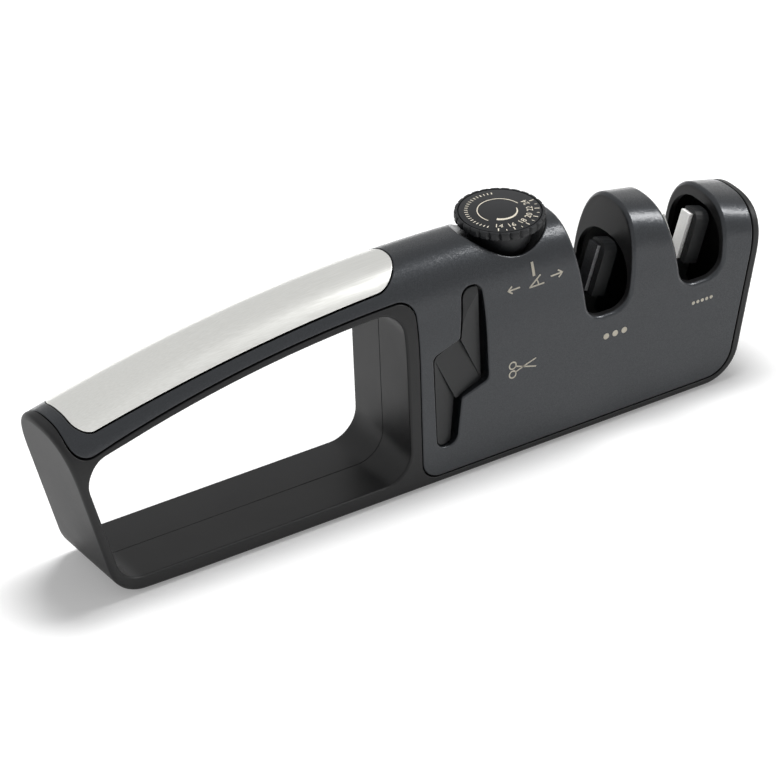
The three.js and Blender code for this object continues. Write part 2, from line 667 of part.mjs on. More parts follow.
addPart('shaft_bush', cut(
  join(
    pinZ(DIAL_X, 0, BUSH_RADIUS, shelfZ, bushTopZ),
    pinZ(DIAL_X, 0, BUSH_FLANGE_RADIUS, bushTopZ - BUSH_FLANGE, bushTopZ),
  ),
  pinZ(DIAL_X, 0, SHAFT_RADIUS + GAP, shelfZ - OVERLAP, bushTopZ + OVERLAP),
), ACETAL);

addPart('knob_screw', join(
  pinZ(DIAL_X, 0, KNOB_SCREW_HEAD_RADIUS, knobScrewHeadZ, knobScrewTopZ),
  pinZ(DIAL_X, 0, KNOB_SCREW_RADIUS, shaftTopZ - KNOB_SCREW_LENGTH, knobScrewTopZ),
), STEEL);

// Return spring between the collar and the knob
class Helix extends THREE.Curve {
  constructor(radius, z0, z1, turns) {
    super();
    Object.assign(this, { radius, z0, z1, turns });
  }

  getPoint(t) {
    const angle = 2 * Math.PI * this.turns * t;
    return new THREE.Vector3(
      DIAL_X + this.radius * Math.cos(angle),
      this.radius * Math.sin(angle),
      THREE.MathUtils.lerp(this.z0, this.z1, t),
    );
  }
}
const springSeat = SPRING_WIRE / 2 + GAP;
const springBaseZ = collarTopZ + springSeat;
const springPath = new Helix(SPRING_RADIUS, springBaseZ, dialHubZ - springSeat, SPRING_TURNS);
const wireCircle = new THREE.EllipseCurve(0, 0, SPRING_WIRE / 2, SPRING_WIRE / 2).getPoints(WIRE_SIDES);
const wireSection = new THREE.Shape(wireCircle.slice(0, WIRE_SIDES));
addPart('dial_spring', solid(new THREE.ExtrudeGeometry(wireSection, {
  steps: SPRING_TURNS * SPRING_STEPS,
  extrudePath: springPath,
})), STEEL);
const springPitch = (springPath.z1 - springPath.z0) / SPRING_TURNS;
console.log('spring gap between turns', (springPitch - SPRING_WIRE).toFixed(2));

// Holder arms: each pair turns on one pin, in opposite directions
const lean = radians(REST_LEAN);
const leverX = LEVER_X * Math.cos(lean) - LEVER_Z * Math.sin(lean);
const leverZ = LEVER_X * Math.sin(lean) + LEVER_Z * Math.cos(lean);

// The straight outline round two circles.
function capsule(x0, z0, r0, x1, z1, r1) {
  const along = Math.atan2(z1 - z0, x1 - x0);
  const flare = Math.acos((r0 - r1) / Math.hypot(x1 - x0, z1 - z0));
  const arcAt = (x, z, radius, from, to) => (
    new THREE.EllipseCurve(x, z, radius, radius, from, to).getPoints(CAPSULE_POINTS)
  );
  return [
    ...arcAt(x0, z0, r0, along + flare, along + 2 * Math.PI - flare),
    ...arcAt(x1, z1, r1, along - flare, along + flare),
  ];
}

const barFace = -ARM_FACE - BAR_PROUD;
const barBack = barFace + BAR_THICKNESS;
const barSide = -hubGap - BAR_WIDTH;
function addArm(stage, side, x, length, barFinish) {
  const mirror = side === 'right' ? 1 : -1;
  const holder = new THREE.Group();
  holder.position.set(x, 0, PIVOT_Z);
  holder.rotation.y = mirror * lean;
  part.add(holder);
  const spin = (body) => body.rotate([0, 0, mirror > 0 ? 0 : 180]);
  const sideEnd = hubGap + ARM_SIDE;
  const pinStart = mirror > 0 ? -hubGap - OVERLAP : sideEnd - OVERLAP;
  const body = join(
    spin(slab(outline([
      [-ARM_WIDTH, ARM_FOOT],
      [-hubGap, ARM_FOOT],
      [-hubGap, length, ARM_INNER_CORNER],
      [-ARM_WIDTH, length, ARM_CORNER],
    ]), -ARM_FACE, ARM_BACK)),
    spin(box(-ARM_FACE, ARM_BACK, -sideEnd, -hubGap, 0, ARM_FOOT + OVERLAP)),
    spin(plate(capsule(0, 0, HUB_RADIUS, leverX, leverZ, LEVER_RADIUS), -sideEnd, -hubGap)),
    pinY(mirror * leverX, leverZ, DRIVE_PIN_RADIUS, SLIDER_FRONT_Y, pinStart),
  );
  const barTop = length - BAR_TOP_MARGIN;
  addPart(`${stage}_arm_${side}`, cut(
    body,
    pinY(0, 0, PIVOT_RADIUS + GAP, -half, half),
    spin(box(barFace, barBack + GAP, barSide - GAP, 0, BAR_FOOT - GAP, barTop + GAP)),
  ), DARK_PLASTIC, holder);
  const bar = box(barFace, barBack, barSide, -hubGap, BAR_FOOT, barTop);
  addPart(`${stage}_bar_${side}`, spin(bar), barFinish, holder);
}
addArm('coarse', 'left', COARSE_X, COARSE_ARM, DIAMOND);
addArm('coarse', 'right', COARSE_X, COARSE_ARM, DIAMOND);
addArm('fine', 'left', FINE_X, FINE_ARM, CERAMIC);
addArm('fine', 'right', FINE_X, FINE_ARM, CERAMIC);
const pivotReach = half - seatInset - GAP;
addPart('coarse_pivot_pin', pinY(COARSE_X, PIVOT_Z, PIVOT_RADIUS, -pivotReach, pivotReach), STEEL);
addPart('fine_pivot_pin', pinY(FINE_X, PIVOT_Z, PIVOT_RADIUS, -pivotReach, pivotReach), STEEL);

// Angle slider: a rack plate with one slanted slot for each arm's drive pin
const dialTurn = (angle) => radians(((angle - REST_LEAN) * DEGREES_PER_MARK) / ANGLE_PER_MARK);
const slideAt = (angle) => -pitchRadius * dialTurn(angle);
function driveSlot(x, mirror) {
  const radius = DRIVE_PIN_RADIUS + GAP;
  const [start, end] = [LEAN_MIN, LEAN_MAX].map((angle) => {
    const turn = radians(angle - REST_LEAN);
    return [
      x + mirror * (LEVER_X * Math.cos(turn) + LEVER_Z * Math.sin(turn)) - slideAt(angle),
      PIVOT_Z - LEVER_X * Math.sin(turn) + LEVER_Z * Math.cos(turn),
    ];
  });
  return plate(capsule(...start, radius, ...end, radius));
}
const rackPitch = Math.PI * MODULE;
const rackRootY = -pitchRadius - TOOTH_DEDENDUM;
const rackLeftX = DIAL_X - RACK_HALF;
const rackTooth = (i) => {
  const x = DIAL_X + (i + 1 / 2 - RACK_TEETH / 2) * rackPitch;
  return [
    new THREE.Vector2(x - TOOTH_WIDTH, rackRootY - OVERLAP),
    new THREE.Vector2(x + TOOTH_WIDTH, rackRootY - OVERLAP),
    new THREE.Vector2(x + TOOTH_TIP_WIDTH, -pitchRadius + TOOTH_ADDENDUM),
    new THREE.Vector2(x - TOOTH_TIP_WIDTH, -pitchRadius + TOOTH_ADDENDUM),
  ];
};
const sliderRightX = FINE_X + LEVER_X - slideAt(LEAN_MAX) + DRIVE_PIN_RADIUS + SLIDER_END;
addPart('angle_slider', cut(
  join(
    box(rackLeftX, sliderRightX, SLIDER_FRONT_Y, sliderBackY, SLIDER_BASE_Z, sliderTopZ),
    box(rackLeftX, DIAL_X + RACK_HALF, SLIDER_FRONT_Y, rackRootY, SLIDER_BASE_Z, sliderTopZ),
    ...Array.from({ length: RACK_TEETH }, (_, i) => block(rackTooth(i), SLIDER_BASE_Z, sliderTopZ)),
  ),
  ...notches.flatMap((x) => [driveSlot(x, -1), driveSlot(x, 1)]),
), ACETAL);

// Scissors guide: a block in the stepped slot, whose noses slope in from the left and leave narrow slits
const noseTipY = half - NOSE_DEPTH;
const noseBaseY = half - GAP;
const nose = (x0, x1) => block([
  new THREE.Vector2(x0 - GUIDE_RIM, -noseBaseY),
  new THREE.Vector2(x0, -noseBaseY),
  new THREE.Vector2(x1, -noseTipY),
  new THREE.Vector2(x1, noseTipY),
  new THREE.Vector2(x0, noseBaseY),
  new THREE.Vector2(x0 - GUIDE_RIM, noseBaseY),
], 0, SKY_Z);
const guideLeft = lowerLeft - GUIDE_RIM;
const upperZone = plate(outline([
  [upperLeft - GUIDE_RIM, SLOT_STEP_TOP_Z],
  [upperLeft, SLOT_STEP_TOP_Z],
  [upperRight - SLIT, stepRightZ],
  [SLOT_UPPER_X + SLOT_END_HALF - SLIT, SLOT_TOP_Z + GUIDE_RIM],
  [upperLeft - GUIDE_RIM, SLOT_TOP_Z + GUIDE_RIM],
]));
const lowerZone = plate(outline([
  [guideLeft, SLOT_BOTTOM_Z - GUIDE_RIM],
  [SLOT_LOWER_X + SLOT_END_HALF - SLIT, SLOT_BOTTOM_Z - GUIDE_RIM],
  [lowerRight - SLIT, SLOT_STEP_BOTTOM_Z],
  [lowerLeft, stepLeftZ],
  [guideLeft, stepLeftZ],
]));
const stepZone = plate(outline([
  [guideLeft, stepLeftZ],
  [lowerLeft, stepLeftZ],
  [lowerRight - SLIT, SLOT_STEP_BOTTOM_Z],
  [lowerRight, SLOT_STEP_BOTTOM_Z],
  [upperRight, stepRightZ],
  [upperRight - SLIT, stepRightZ],
  [upperLeft, SLOT_STEP_TOP_Z],
  [upperLeft - GUIDE_RIM, SLOT_STEP_TOP_Z],
]));
const noses = join(
  common(nose(upperLeft, upperRight), upperZone),
  common(nose(lowerLeft, lowerRight), lowerZone),
  common(nose(lowerLeft, upperRight), stepZone),
);
const guideWhole = plate(slotOutline(GUIDE_RIM));
const guideBlock = join(cut(guideWhole, plate(slotOutline(0))), common(guideWhole, noses));
const rodX = (SLOT_HALF + SLOT_END_HALF) / 2 - SLIT - ROD_SUNK;
const upperRod = { x: SLOT_UPPER_X + rodX, z: (SLOT_TOP_Z + stepRightZ - ROD_LENGTH) / 2 };
const lowerRod = { x: SLOT_LOWER_X + rodX, z: (SLOT_BOTTOM_Z + stepLeftZ - ROD_LENGTH) / 2 };
const rodAt = ({ x, z }, grow) => pinZ(x, 0, ROD_RADIUS + grow, z - grow, z + ROD_LENGTH + grow);
addPart('scissors_guide', cut(
  join(common(guideBlock, seat), common(noses, plate(slotOutline(-GAP)), outer)),
  rodAt(upperRod, GAP),
  rodAt(lowerRod, GAP),
), FRAME_BLACK);
addPart('scissors_rod_upper', rodAt(upperRod, 0), CERAMIC);
addPart('scissors_rod_lower', rodAt(lowerRod, 0), CERAMIC);

export default part;
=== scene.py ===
# %% [markdown]
# # A hand-held knife sharpener
# The real object is a long moulded body: a black frame in two halves, a painted cover that wraps over
# it, a steel plate on the handle, an angle dial, two notches with abrasive bars and a scissors slot.
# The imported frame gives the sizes, the moving bodies and the inner pieces. This script dresses it:
# the outer skins are built again with rounded edges, and every piece gets a finish.

# %% Load the frame
import math
from dataclasses import dataclass, field

import bpy
import numpy as np
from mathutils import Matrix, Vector
from mathutils.geometry import delaunay_2d_cdt


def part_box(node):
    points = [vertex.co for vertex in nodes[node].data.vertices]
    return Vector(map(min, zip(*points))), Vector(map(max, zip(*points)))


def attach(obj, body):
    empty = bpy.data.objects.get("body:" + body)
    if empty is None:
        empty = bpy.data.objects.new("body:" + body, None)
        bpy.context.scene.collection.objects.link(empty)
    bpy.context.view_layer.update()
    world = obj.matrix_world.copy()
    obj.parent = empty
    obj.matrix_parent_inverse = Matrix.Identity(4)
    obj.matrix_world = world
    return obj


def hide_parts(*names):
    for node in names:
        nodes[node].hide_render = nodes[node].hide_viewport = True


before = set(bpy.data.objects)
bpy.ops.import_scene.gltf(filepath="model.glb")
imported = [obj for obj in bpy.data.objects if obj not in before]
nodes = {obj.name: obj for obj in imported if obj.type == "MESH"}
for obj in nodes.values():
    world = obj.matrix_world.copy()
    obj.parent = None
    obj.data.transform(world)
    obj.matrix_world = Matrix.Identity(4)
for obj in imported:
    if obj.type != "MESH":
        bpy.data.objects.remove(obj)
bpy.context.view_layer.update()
MM = 0.001  # the shapes below are written in millimetres
MM_PER_METRE = 1000

# %% [markdown]
# ## Camera
# The photograph was taken with a long lens from the front left and above. Its straight edges gave the
# viewing angle, so the camera is written as two angles and a distance round a point on the object.

# %% Camera
VIEW_AZIMUTH = math.radians(-33.66)
VIEW_ELEVATION = math.radians(32.33)
VIEW_DISTANCE = 1.9205
VIEW_TARGET = Vector((-0.0024, 0.0, 0.02737))
LENS_MM = 307.5


def add_object(name, data):
    """Puts data, such as a mesh or a lamp, into the scene as an object."""
    thing = bpy.data.objects.new(name, data)
    bpy.context.scene.collection.objects.link(thing)
    return thing


towards_camera = Vector((
    math.sin(VIEW_AZIMUTH) * math.cos(VIEW_ELEVATION),
    -math.cos(VIEW_AZIMUTH) * math.cos(VIEW_ELEVATION),
    math.sin(VIEW_ELEVATION),
))
camera = add_object("portrait_camera", bpy.data.cameras.new("portrait_camera"))
camera.data.lens = LENS_MM
camera.location = VIEW_TARGET + VIEW_DISTANCE * towards_camera
camera.rotation_euler = towards_camera.to_track_quat("Z", "Y").to_euler()
bpy.context.scene.camera = camera
print("camera at", [round(value, 3) for value in camera.location])

# %% [markdown]
# ## Colours and nodes
# Shaders work in linear light, while a colour read off a picture is sRGB, so one function turns hex
# values into linear ones. One more adds a node with its settings and its links.

# %% Colour and node helpers
MIX_BY, MIX_FROM, MIX_TO, MIXED = 0, 6, 7, 2  # the sockets that a Mix node uses for colours


def linear(hex_colour):
    channels = [int(hex_colour[i:i + 2], 16) / 255 for i in (1, 3, 5)]
    return [c / 12.92 if c <= 0.04045 else ((c + 0.055) / 1.055) ** 2.4 for c in channels] + [1.0]


def add_node(owner, kind, inputs=None, **settings):
    node = owner.node_tree.nodes.new(kind)
    for key, value in settings.items():
        setattr(node, key, value)
    for key, value in (inputs or {}).items():
        if isinstance(value, bpy.types.NodeSocket):
            owner.node_tree.links.new(value, node.inputs[key])
        else:
            node.inputs[key].default_value = value
    return node


def new_material(name):
    """An empty material, and the socket that gives its patterns their place on the object."""
    material = bpy.data.materials.new(name)
    material.use_nodes = True
    material.node_tree.nodes.clear()
    return material, add_node(material, "ShaderNodeTexCoord").outputs["Object"]


def per_metre(size_mm):
    """How often a pattern of this size repeats in one metre, the scale of a texture node."""
    return 1 / (size_mm * MM)


# %% [markdown]
# ## Studio
# The object stands on white paper under a softbox, which leaves a soft shadow at its foot. The paper
# and the room look white to the camera and in reflections, while the light that falls on the object
# stays at a plain level.


# %% Floor and room
def seen_directly(owner):
    """1 on rays from the camera, in reflections and through glass, 0 on rays that light the object."""
    path = add_node(owner, "ShaderNodeLightPath")
    mirrored = add_node(owner, "ShaderNodeMath", {
        0: path.outputs["Is Camera Ray"], 1: path.outputs["Is Glossy Ray"]}, operation="MAXIMUM")
    either = add_node(owner, "ShaderNodeMath", {
        0: mirrored.outputs[0], 1: path.outputs["Is Transmission Ray"]}, operation="MAXIMUM")
    return either.outputs[0]


FLOOR_HALF = 3.0
FLOOR_COLOUR = "#e6e6e6"
SHADOW_ZONE = (0.16, 0.5)  # metres from the object in which the paper turns from lit to plain white
NEAR_GLOW, FAR_GLOW = 0.22, 1.0

paper, paper_at = new_material("White paper sweep")
paper_reach = add_node(paper, "ShaderNodeVectorMath", {0: paper_at}, operation="LENGTH")
paper_glow = add_node(paper, "ShaderNodeMapRange", {
    "Value": paper_reach.outputs["Value"], "From Min": SHADOW_ZONE[0], "From Max": SHADOW_ZONE[1],
    "To Min": NEAR_GLOW, "To Max": FAR_GLOW})
paper_diffuse = add_node(paper, "ShaderNodeBsdfDiffuse", {"Color": linear(FLOOR_COLOUR)})
paper_white = add_node(paper, "ShaderNodeEmission", {"Strength": paper_glow.outputs[0]})
paper_lit = add_node(paper, "ShaderNodeAddShader", {
    0: paper_diffuse.outputs[0], 1: paper_white.outputs[0]})
paper_mix = add_node(paper, "ShaderNodeMixShader", {
    0: seen_directly(paper), 1: paper_diffuse.outputs[0], 2: paper_lit.outputs[0]})
add_node(paper, "ShaderNodeOutputMaterial", {"Surface": paper_mix.outputs[0]})

floor_mesh = bpy.data.meshes.new("floor")
floor_corners = [(x * FLOOR_HALF, y * FLOOR_HALF, 0) for x, y in ((-1, -1), (1, -1), (1, 1), (-1, 1))]
floor_mesh.from_pydata(floor_corners, [], [(0, 1, 2, 3)])
floor_mesh.materials.append(paper)
floor = add_object("floor", floor_mesh)

ROOM_LIGHT, ROOM_WHITE = 0.4, 1.0
world = bpy.data.worlds.new("studio")
world.use_nodes = True
world.node_tree.nodes.clear()
room_level = add_node(world, "ShaderNodeMapRange", {
    "Value": seen_directly(world), "To Min": ROOM_LIGHT, "To Max": ROOM_WHITE})
room = add_node(world, "ShaderNodeBackground", {"Strength": room_level.outputs[0]})
add_node(world, "ShaderNodeOutputWorld", {"Surface": room.outputs[0]})
bpy.context.scene.world = world
bpy.context.scene.view_settings.view_transform = "Standard"
print("floor and room are white to the camera")

# %% [markdown]
# The softboxes light the paper and the plastics but stay out of reflections, so that the steel and the
# paint mirror the plain white room. One small panel does the opposite: it is there only to be mirrored,
# as a bright band along the shoulders of the body.

# %% Lamps
LAMPS = {  # place, aim, size, watts, and whether it is there only to be mirrored
    "top_softbox": ((0.1, 0.14, 1.1), (0.0, 0.0, 0.0), (0.5, 0.35), 13.0, False),
    "left_softbox": ((-1.1, -0.25, 0.5), (0.0, 0.0, 0.04), (0.6, 0.6), 1.5, False),
    "shoulder_strip": ((1.2, -0.54, 1.04), (0.08, 0.0, 0.06), (0.4, 0.4), 12.0, True),
}
for lamp_name, (place, aim, size, watts, mirrored) in LAMPS.items():
    light = bpy.data.lights.new(lamp_name, "AREA")
    light.shape = "RECTANGLE"
    light.size, light.size_y = size
    light.energy = watts
    lamp = add_object(lamp_name, light)
    lamp.location = place
    lamp.visible_glossy = mirrored
    lamp.visible_diffuse = not mirrored
    lamp.rotation_euler = (Vector(place) - Vector(aim)).to_track_quat("Z", "Y").to_euler()
print("lamps:", list(LAMPS))

# %% [markdown]
# ## Gunmetal paint
# The cover is moulded ABS with a metallic paint: small aluminium flakes in a dark blue-grey lacquer.
# Each flake lies at its own small tilt, so it sparkles where light grazes the shoulder of the body.
# Cells of a Voronoi texture stand for the flakes, and each cell's random colour tilts its normal.
# Real flakes are about 0.05 mm; they are drawn at 0.22 mm, because finer ones would not show.

# %% Metallic paint
FLAKE_MM = 0.22
FLAKE_TILT = 0.1
MEAN_COLOUR = (0.5, 0.5, 0.5)  # of the cells, so that the tilts even out
PAINT_DARK, PAINT_LIGHT = "#202327", "#25282c"

gunmetal, paint_at = new_material("Metallic flake paint on ABS")
flakes = add_node(gunmetal, "ShaderNodeTexVoronoi", {"Vector": paint_at, "Scale": per_metre(FLAKE_MM)})
flake_lean = add_node(gunmetal, "ShaderNodeVectorMath", {
    0: flakes.outputs["Color"], 1: MEAN_COLOUR}, operation="SUBTRACT")
flake_tilt = add_node(gunmetal, "ShaderNodeVectorMath", {
    0: flake_lean.outputs[0], "Scale": FLAKE_TILT}, operation="SCALE")
paint_facing = add_node(gunmetal, "ShaderNodeNewGeometry")
flake_sum = add_node(gunmetal, "ShaderNodeVectorMath", {
    0: paint_facing.outputs["Normal"], 1: flake_tilt.outputs[0]}, operation="ADD")
flake_normal = add_node(gunmetal, "ShaderNodeVectorMath", {
    0: flake_sum.outputs[0]}, operation="NORMALIZE")
flake_pick = add_node(gunmetal, "ShaderNodeSeparateColor", {"Color": flakes.outputs["Color"]})
flake_colour = add_node(gunmetal, "ShaderNodeMix", {
    MIX_BY: flake_pick.outputs[0], MIX_FROM: linear(PAINT_DARK), MIX_TO: linear(PAINT_LIGHT)},
    data_type="RGBA")
paint = add_node(gunmetal, "ShaderNodeBsdfPrincipled", {
    "Base Color": flake_colour.outputs[MIXED], "Metallic": 0.75, "Roughness": 0.4,
    "Normal": flake_normal.outputs[0], "Coat Weight": 0.6, "Coat Roughness": 0.22,
    "Coat Normal": flake_normal.outputs[0]})
add_node(gunmetal, "ShaderNodeOutputMaterial", {"Surface": paint.outputs[0]})

# %% [markdown]
# ## Moulded plastics
# The frame is moulded black ABS from a finely etched mould: a satin skin with a grain of about
# 0.35 mm that breaks up reflections. The holders, the dial, the slider and the rubber pads are moulded
# the same way, so one function makes them all from two colours, a roughness and a grain.

# %% Moulded plastics
CLOUD_GRAINS = 60  # size of the faint clouds of colour and gloss, in grains
GLOSS_SPREAD = 0.06
ETCH_STRENGTH = 0.35
PLASTIC_IOR = 1.4


def moulded_plastic(name, hex_dark, hex_light, roughness, grain_mm, grain_depth):
    material, at = new_material(name)
    grain = add_node(material, "ShaderNodeTexNoise", {
        "Vector": at, "Scale": per_metre(grain_mm), "Detail": 3.0})
    cloud = add_node(material, "ShaderNodeTexNoise", {
        "Vector": at, "Scale": per_metre(CLOUD_GRAINS * grain_mm), "Detail": 4.0})
    tint = add_node(material, "ShaderNodeMix", {
        MIX_BY: cloud.outputs[0], MIX_FROM: linear(hex_dark), MIX_TO: linear(hex_light)},
        data_type="RGBA")
    gloss = add_node(material, "ShaderNodeMapRange", {
        "Value": cloud.outputs[0],
        "To Min": roughness - GLOSS_SPREAD, "To Max": roughness + GLOSS_SPREAD})
    etch = add_node(material, "ShaderNodeBump", {
        "Height": grain.outputs[0], "Strength": ETCH_STRENGTH, "Distance": grain_depth * MM})
    skin = add_node(material, "ShaderNodeBsdfPrincipled", {
        "Base Color": tint.outputs[MIXED], "Roughness": gloss.outputs[0], "Normal": etch.outputs[0],
        "IOR": PLASTIC_IOR})
    add_node(material, "ShaderNodeOutputMaterial", {"Surface": skin.outputs[0]})
    return material


black_abs = moulded_plastic("Moulded black ABS", "#0b0b0c", "#111112", 0.48, 0.35, 0.02)
nylon = moulded_plastic("Moulded black glass-filled nylon", "#131415", "#1b1c1d", 0.45, 0.3, 0.02)
dial_plastic = moulded_plastic("Moulded charcoal ABS, matt", "#111214", "#191a1c", 0.5, 0.3, 0.03)
acetal = moulded_plastic("Moulded natural acetal", "#d9d6cb", "#e4e1d8", 0.4, 0.4, 0.01)
rubber = moulded_plastic("Moulded rubber, matt", "#121213", "#1b1b1c", 0.85, 0.5, 0.04)

# %% [markdown]
# ## Brushed steel
# The handle plate is stainless steel sheet, brushed along its length by an abrasive belt. The belt
# leaves lines about 0.25 mm apart and some centimetres long, so a noise is stretched along X. The
# lines change the roughness and the shade a little and dent the surface.

# %% Brushed steel
BRUSH_SPACING_MM = 0.25
BRUSH_LENGTH_MM = 45
BRUSH_ROUGHNESS = (0.24, 0.42)
BRUSH_STRENGTH, BRUSH_DEPTH_MM = 0.15, 0.01
STEEL_DARK, STEEL_LIGHT = "#d6d6d1", "#eeeeeb"

steel, steel_at = new_material("Brushed stainless steel")
brush_stretch = add_node(steel, "ShaderNodeMapping", {
    "Vector": steel_at,
    "Scale": (per_metre(BRUSH_LENGTH_MM), per_metre(BRUSH_SPACING_MM), per_metre(BRUSH_SPACING_MM))})
brush = add_node(steel, "ShaderNodeTexNoise", {
    "Vector": brush_stretch.outputs[0], "Scale": 1.0, "Detail": 4.0})
brush_gloss = add_node(steel, "ShaderNodeMapRange", {
    "Value": brush.outputs[0], "To Min": BRUSH_ROUGHNESS[0], "To Max": BRUSH_ROUGHNESS[1]})
brush_tint = add_node(steel, "ShaderNodeMix", {
    MIX_BY: brush.outputs[0], MIX_FROM: linear(STEEL_DARK), MIX_TO: linear(STEEL_LIGHT)},
    data_type="RGBA")
brush_dent = add_node(steel, "ShaderNodeBump", {
    "Height": brush.outputs[0], "Strength": BRUSH_STRENGTH, "Distance": BRUSH_DEPTH_MM * MM})
sheet_metal = add_node(steel, "ShaderNodeBsdfPrincipled", {
    "Base Color": brush_tint.outputs[MIXED], "Metallic": 1.0, "Roughness": brush_gloss.outputs[0],
    "Normal": brush_dent.outputs[0]})
add_node(steel, "ShaderNodeOutputMaterial", {"Surface": sheet_metal.outputs[0]})

# %% [markdown]
# ## Abrasives, small metal parts and print
# The coarse bars are steel plated with diamond grit, a dark rough coat of sharp grains. The fine bars
# are fired alumina ceramic, white with a faint grain. Screws and pins are zinc plated, and the marks
# are pale ink printed by a soft pad. All of them are small grains at different sizes and depths.

# %% Grit, ceramic, steels and ink
RELIEF_STRENGTH = 0.5


def grained(name, hex_dark, hex_light, grain_mm, depth, roughness, metallic):
    material, at = new_material(name)
    grains = add_node(material, "ShaderNodeTexVoronoi", {
        "Vector": at, "Scale": per_metre(grain_mm)})
    pick = add_node(material, "ShaderNodeSeparateColor", {"Color": grains.outputs["Color"]})
    tint = add_node(material, "ShaderNodeMix", {
        MIX_BY: pick.outputs[0], MIX_FROM: linear(hex_dark), MIX_TO: linear(hex_light)},
        data_type="RGBA")
    relief = add_node(material, "ShaderNodeBump", {
        "Height": grains.outputs["Distance"], "Strength": RELIEF_STRENGTH, "Distance": depth * MM})
    skin = add_node(material, "ShaderNodeBsdfPrincipled", {
        "Base Color": tint.outputs[MIXED], "Roughness": roughness, "Metallic": metallic,
        "Normal": relief.outputs[0]})
    add_node(material, "ShaderNodeOutputMaterial", {"Surface": skin.outputs[0]})
    return material


diamond = grained("Diamond grit plated on steel", "#17181a", "#2a2b2e", 0.25, 0.08, 0.6, 0.4)
ceramic = grained("Fired alumina ceramic", "#f7f7f4", "#fdfdfb", 0.3, 0.01, 0.35, 0.0)
# Bare steel for the sides of the coarse bars; its light grey is partly a painted highlight for the light
# that those narrow sides catch.
ground_steel_painted_highlight = grained("Ground steel edge with painted highlight", "#8d8e90", "#a6a7a9", 0.4, 0.02, 0.5, 0.3)
zinc = grained("Zinc plated steel", "#9a9b9e", "#b4b5b8", 0.6, 0.02, 0.35, 1.0)
ink = grained("Pale pad-printed ink", "#bdb6a6", "#cfc9ba", 0.2, 0.01, 0.6, 0.0)
print("materials:", len(bpy.data.materials))

# %% [markdown]
# ## The body's outer surface
# Everything on the outside follows one surface: flat sides that turn into an arched top, whose ridge is
# one long arc. A place on it is given by x and by the distance round from the ridge, which is negative
# on the front. Working in those two numbers turns the curved skin into a flat drawing that can be cut.

# %% Body surface
HALF = MM_PER_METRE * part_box("top_cover")[1].y
SHOULDER_Z = 40.0
ARCH_POWER = 2.5
ARCH_POINTS = 2001
RIDGE_RADIUS = 420.0
RIDGE_APEX = (-3.5, 74.0)
MEAN_RISE = 29.0  # of the arch over the shoulders, to measure round it

quarter = np.linspace(0, math.pi / 2, ARCH_POINTS)
unit_y = np.sin(quarter) ** (2 / ARCH_POWER)
unit_z = np.cos(quarter) ** (2 / ARCH_POWER)
along = np.hypot(np.diff(unit_y) * HALF, np.diff(unit_z) * MEAN_RISE)
girth = np.concatenate([[0], np.cumsum(along)])
SHOULDER_GIRTH = float(girth[-1])


def arch(share):
    """The height of the arch at a share of its half width, or the other way round."""
    return (1 - min(1.0, share) ** ARCH_POWER) ** (1 / ARCH_POWER)


def ridge_z(x, drop=0.0):
    run = x - RIDGE_APEX[0]
    return RIDGE_APEX[1] - RIDGE_RADIUS + math.sqrt((RIDGE_RADIUS - drop) ** 2 - run ** 2)


def on_body(x, round_mm):
    """The point of the surface at x, this far round from the ridge."""
    reach = abs(round_mm)
    if reach >= SHOULDER_GIRTH:
        return Vector((x, math.copysign(HALF, round_mm), SHOULDER_Z - (reach - SHOULDER_GIRTH)))
    across = HALF * float(np.interp(reach, girth, unit_y))
    rise = (ridge_z(x) - SHOULDER_Z) * float(np.interp(reach, girth, unit_z))
    return Vector((x, math.copysign(across, round_mm), SHOULDER_Z + rise))


def round_from_ridge(point):
    """How far round from the ridge a point of the surface lies."""
    if point.z <= SHOULDER_Z:
        return math.copysign(SHOULDER_GIRTH + SHOULDER_Z - point.z, point.y)
    level = (point.z - SHOULDER_Z) / (ridge_z(point.x) - SHOULDER_Z)
    angle = math.atan2((abs(point.y) / HALF) ** (ARCH_POWER / 2), level ** (ARCH_POWER / 2))
    return math.copysign(float(np.interp(angle, quarter, girth)), point.y)


def front_round(x, z):
    """The same for a point of the front at this height."""
    if z <= SHOULDER_Z:
        return -(SHOULDER_GIRTH + SHOULDER_Z - z)
    level = min(1.0, (z - SHOULDER_Z) / (ridge_z(x) - SHOULDER_Z))
    return -float(np.interp(level, unit_z[::-1], girth[::-1]))


def normal_at(point):
    if point.z <= SHOULDER_Z:
        return Vector((0, math.copysign(1, point.y), 0))
    rise = ridge_z(point.x) - SHOULDER_Z
    level = (point.z - SHOULDER_Z) / rise
    run = point.x - RIDGE_APEX[0]
    slope = -run / math.sqrt(RIDGE_RADIUS ** 2 - run ** 2)
    return Vector((
        -level ** ARCH_POWER * slope / rise,
        math.copysign((abs(point.y) / HALF) ** (ARCH_POWER - 1) / HALF, point.y),
        level ** (ARCH_POWER - 1) / rise,
    )).normalized()


print("round from ridge to shoulder:", round(SHOULDER_GIRTH, 1), "mm")

# %% [markdown]
# ## Skins with rolled edges
# A moulded edge is never sharp: its small rounding catches the light, and that bright line is what
# makes plastic look real. A bevel modifier fails where a cut crosses a curved grid, so each skin is
# built on purpose, from edges. An edge is a few rings of faces round an arc and down the wall.


# %% Shapes and edges
@dataclass
class Shape:
    points: list = field(default_factory=list)
    normals: list = field(default_factory=list)
    faces: list = field(default_factory=list)
    dark_faces: set = field(default_factory=set)  # those with the second finish

    def add_point(self, point, normal):
        self.points.append(point)
        self.normals.append(normal)
        return len(self.points) - 1

    def add_rows(self, rows, closed=True, dark_from=None):
        """Joins rows of (point, normal) by faces and returns the number of the first point."""
        ids = [[self.add_point(*entry) for entry in row] for row in rows]
        count = len(rows[0])
        for k, (upper, lower) in enumerate(zip(ids, ids[1:])):
            for i in range(count if closed else count - 1):
                j = (i + 1) % count
                if dark_from is not None and k >= dark_from:
                    self.dark_faces.add(len(self.faces))
                self.faces.append((upper[i], lower[i], lower[j], upper[j]))
        return ids[0][0]


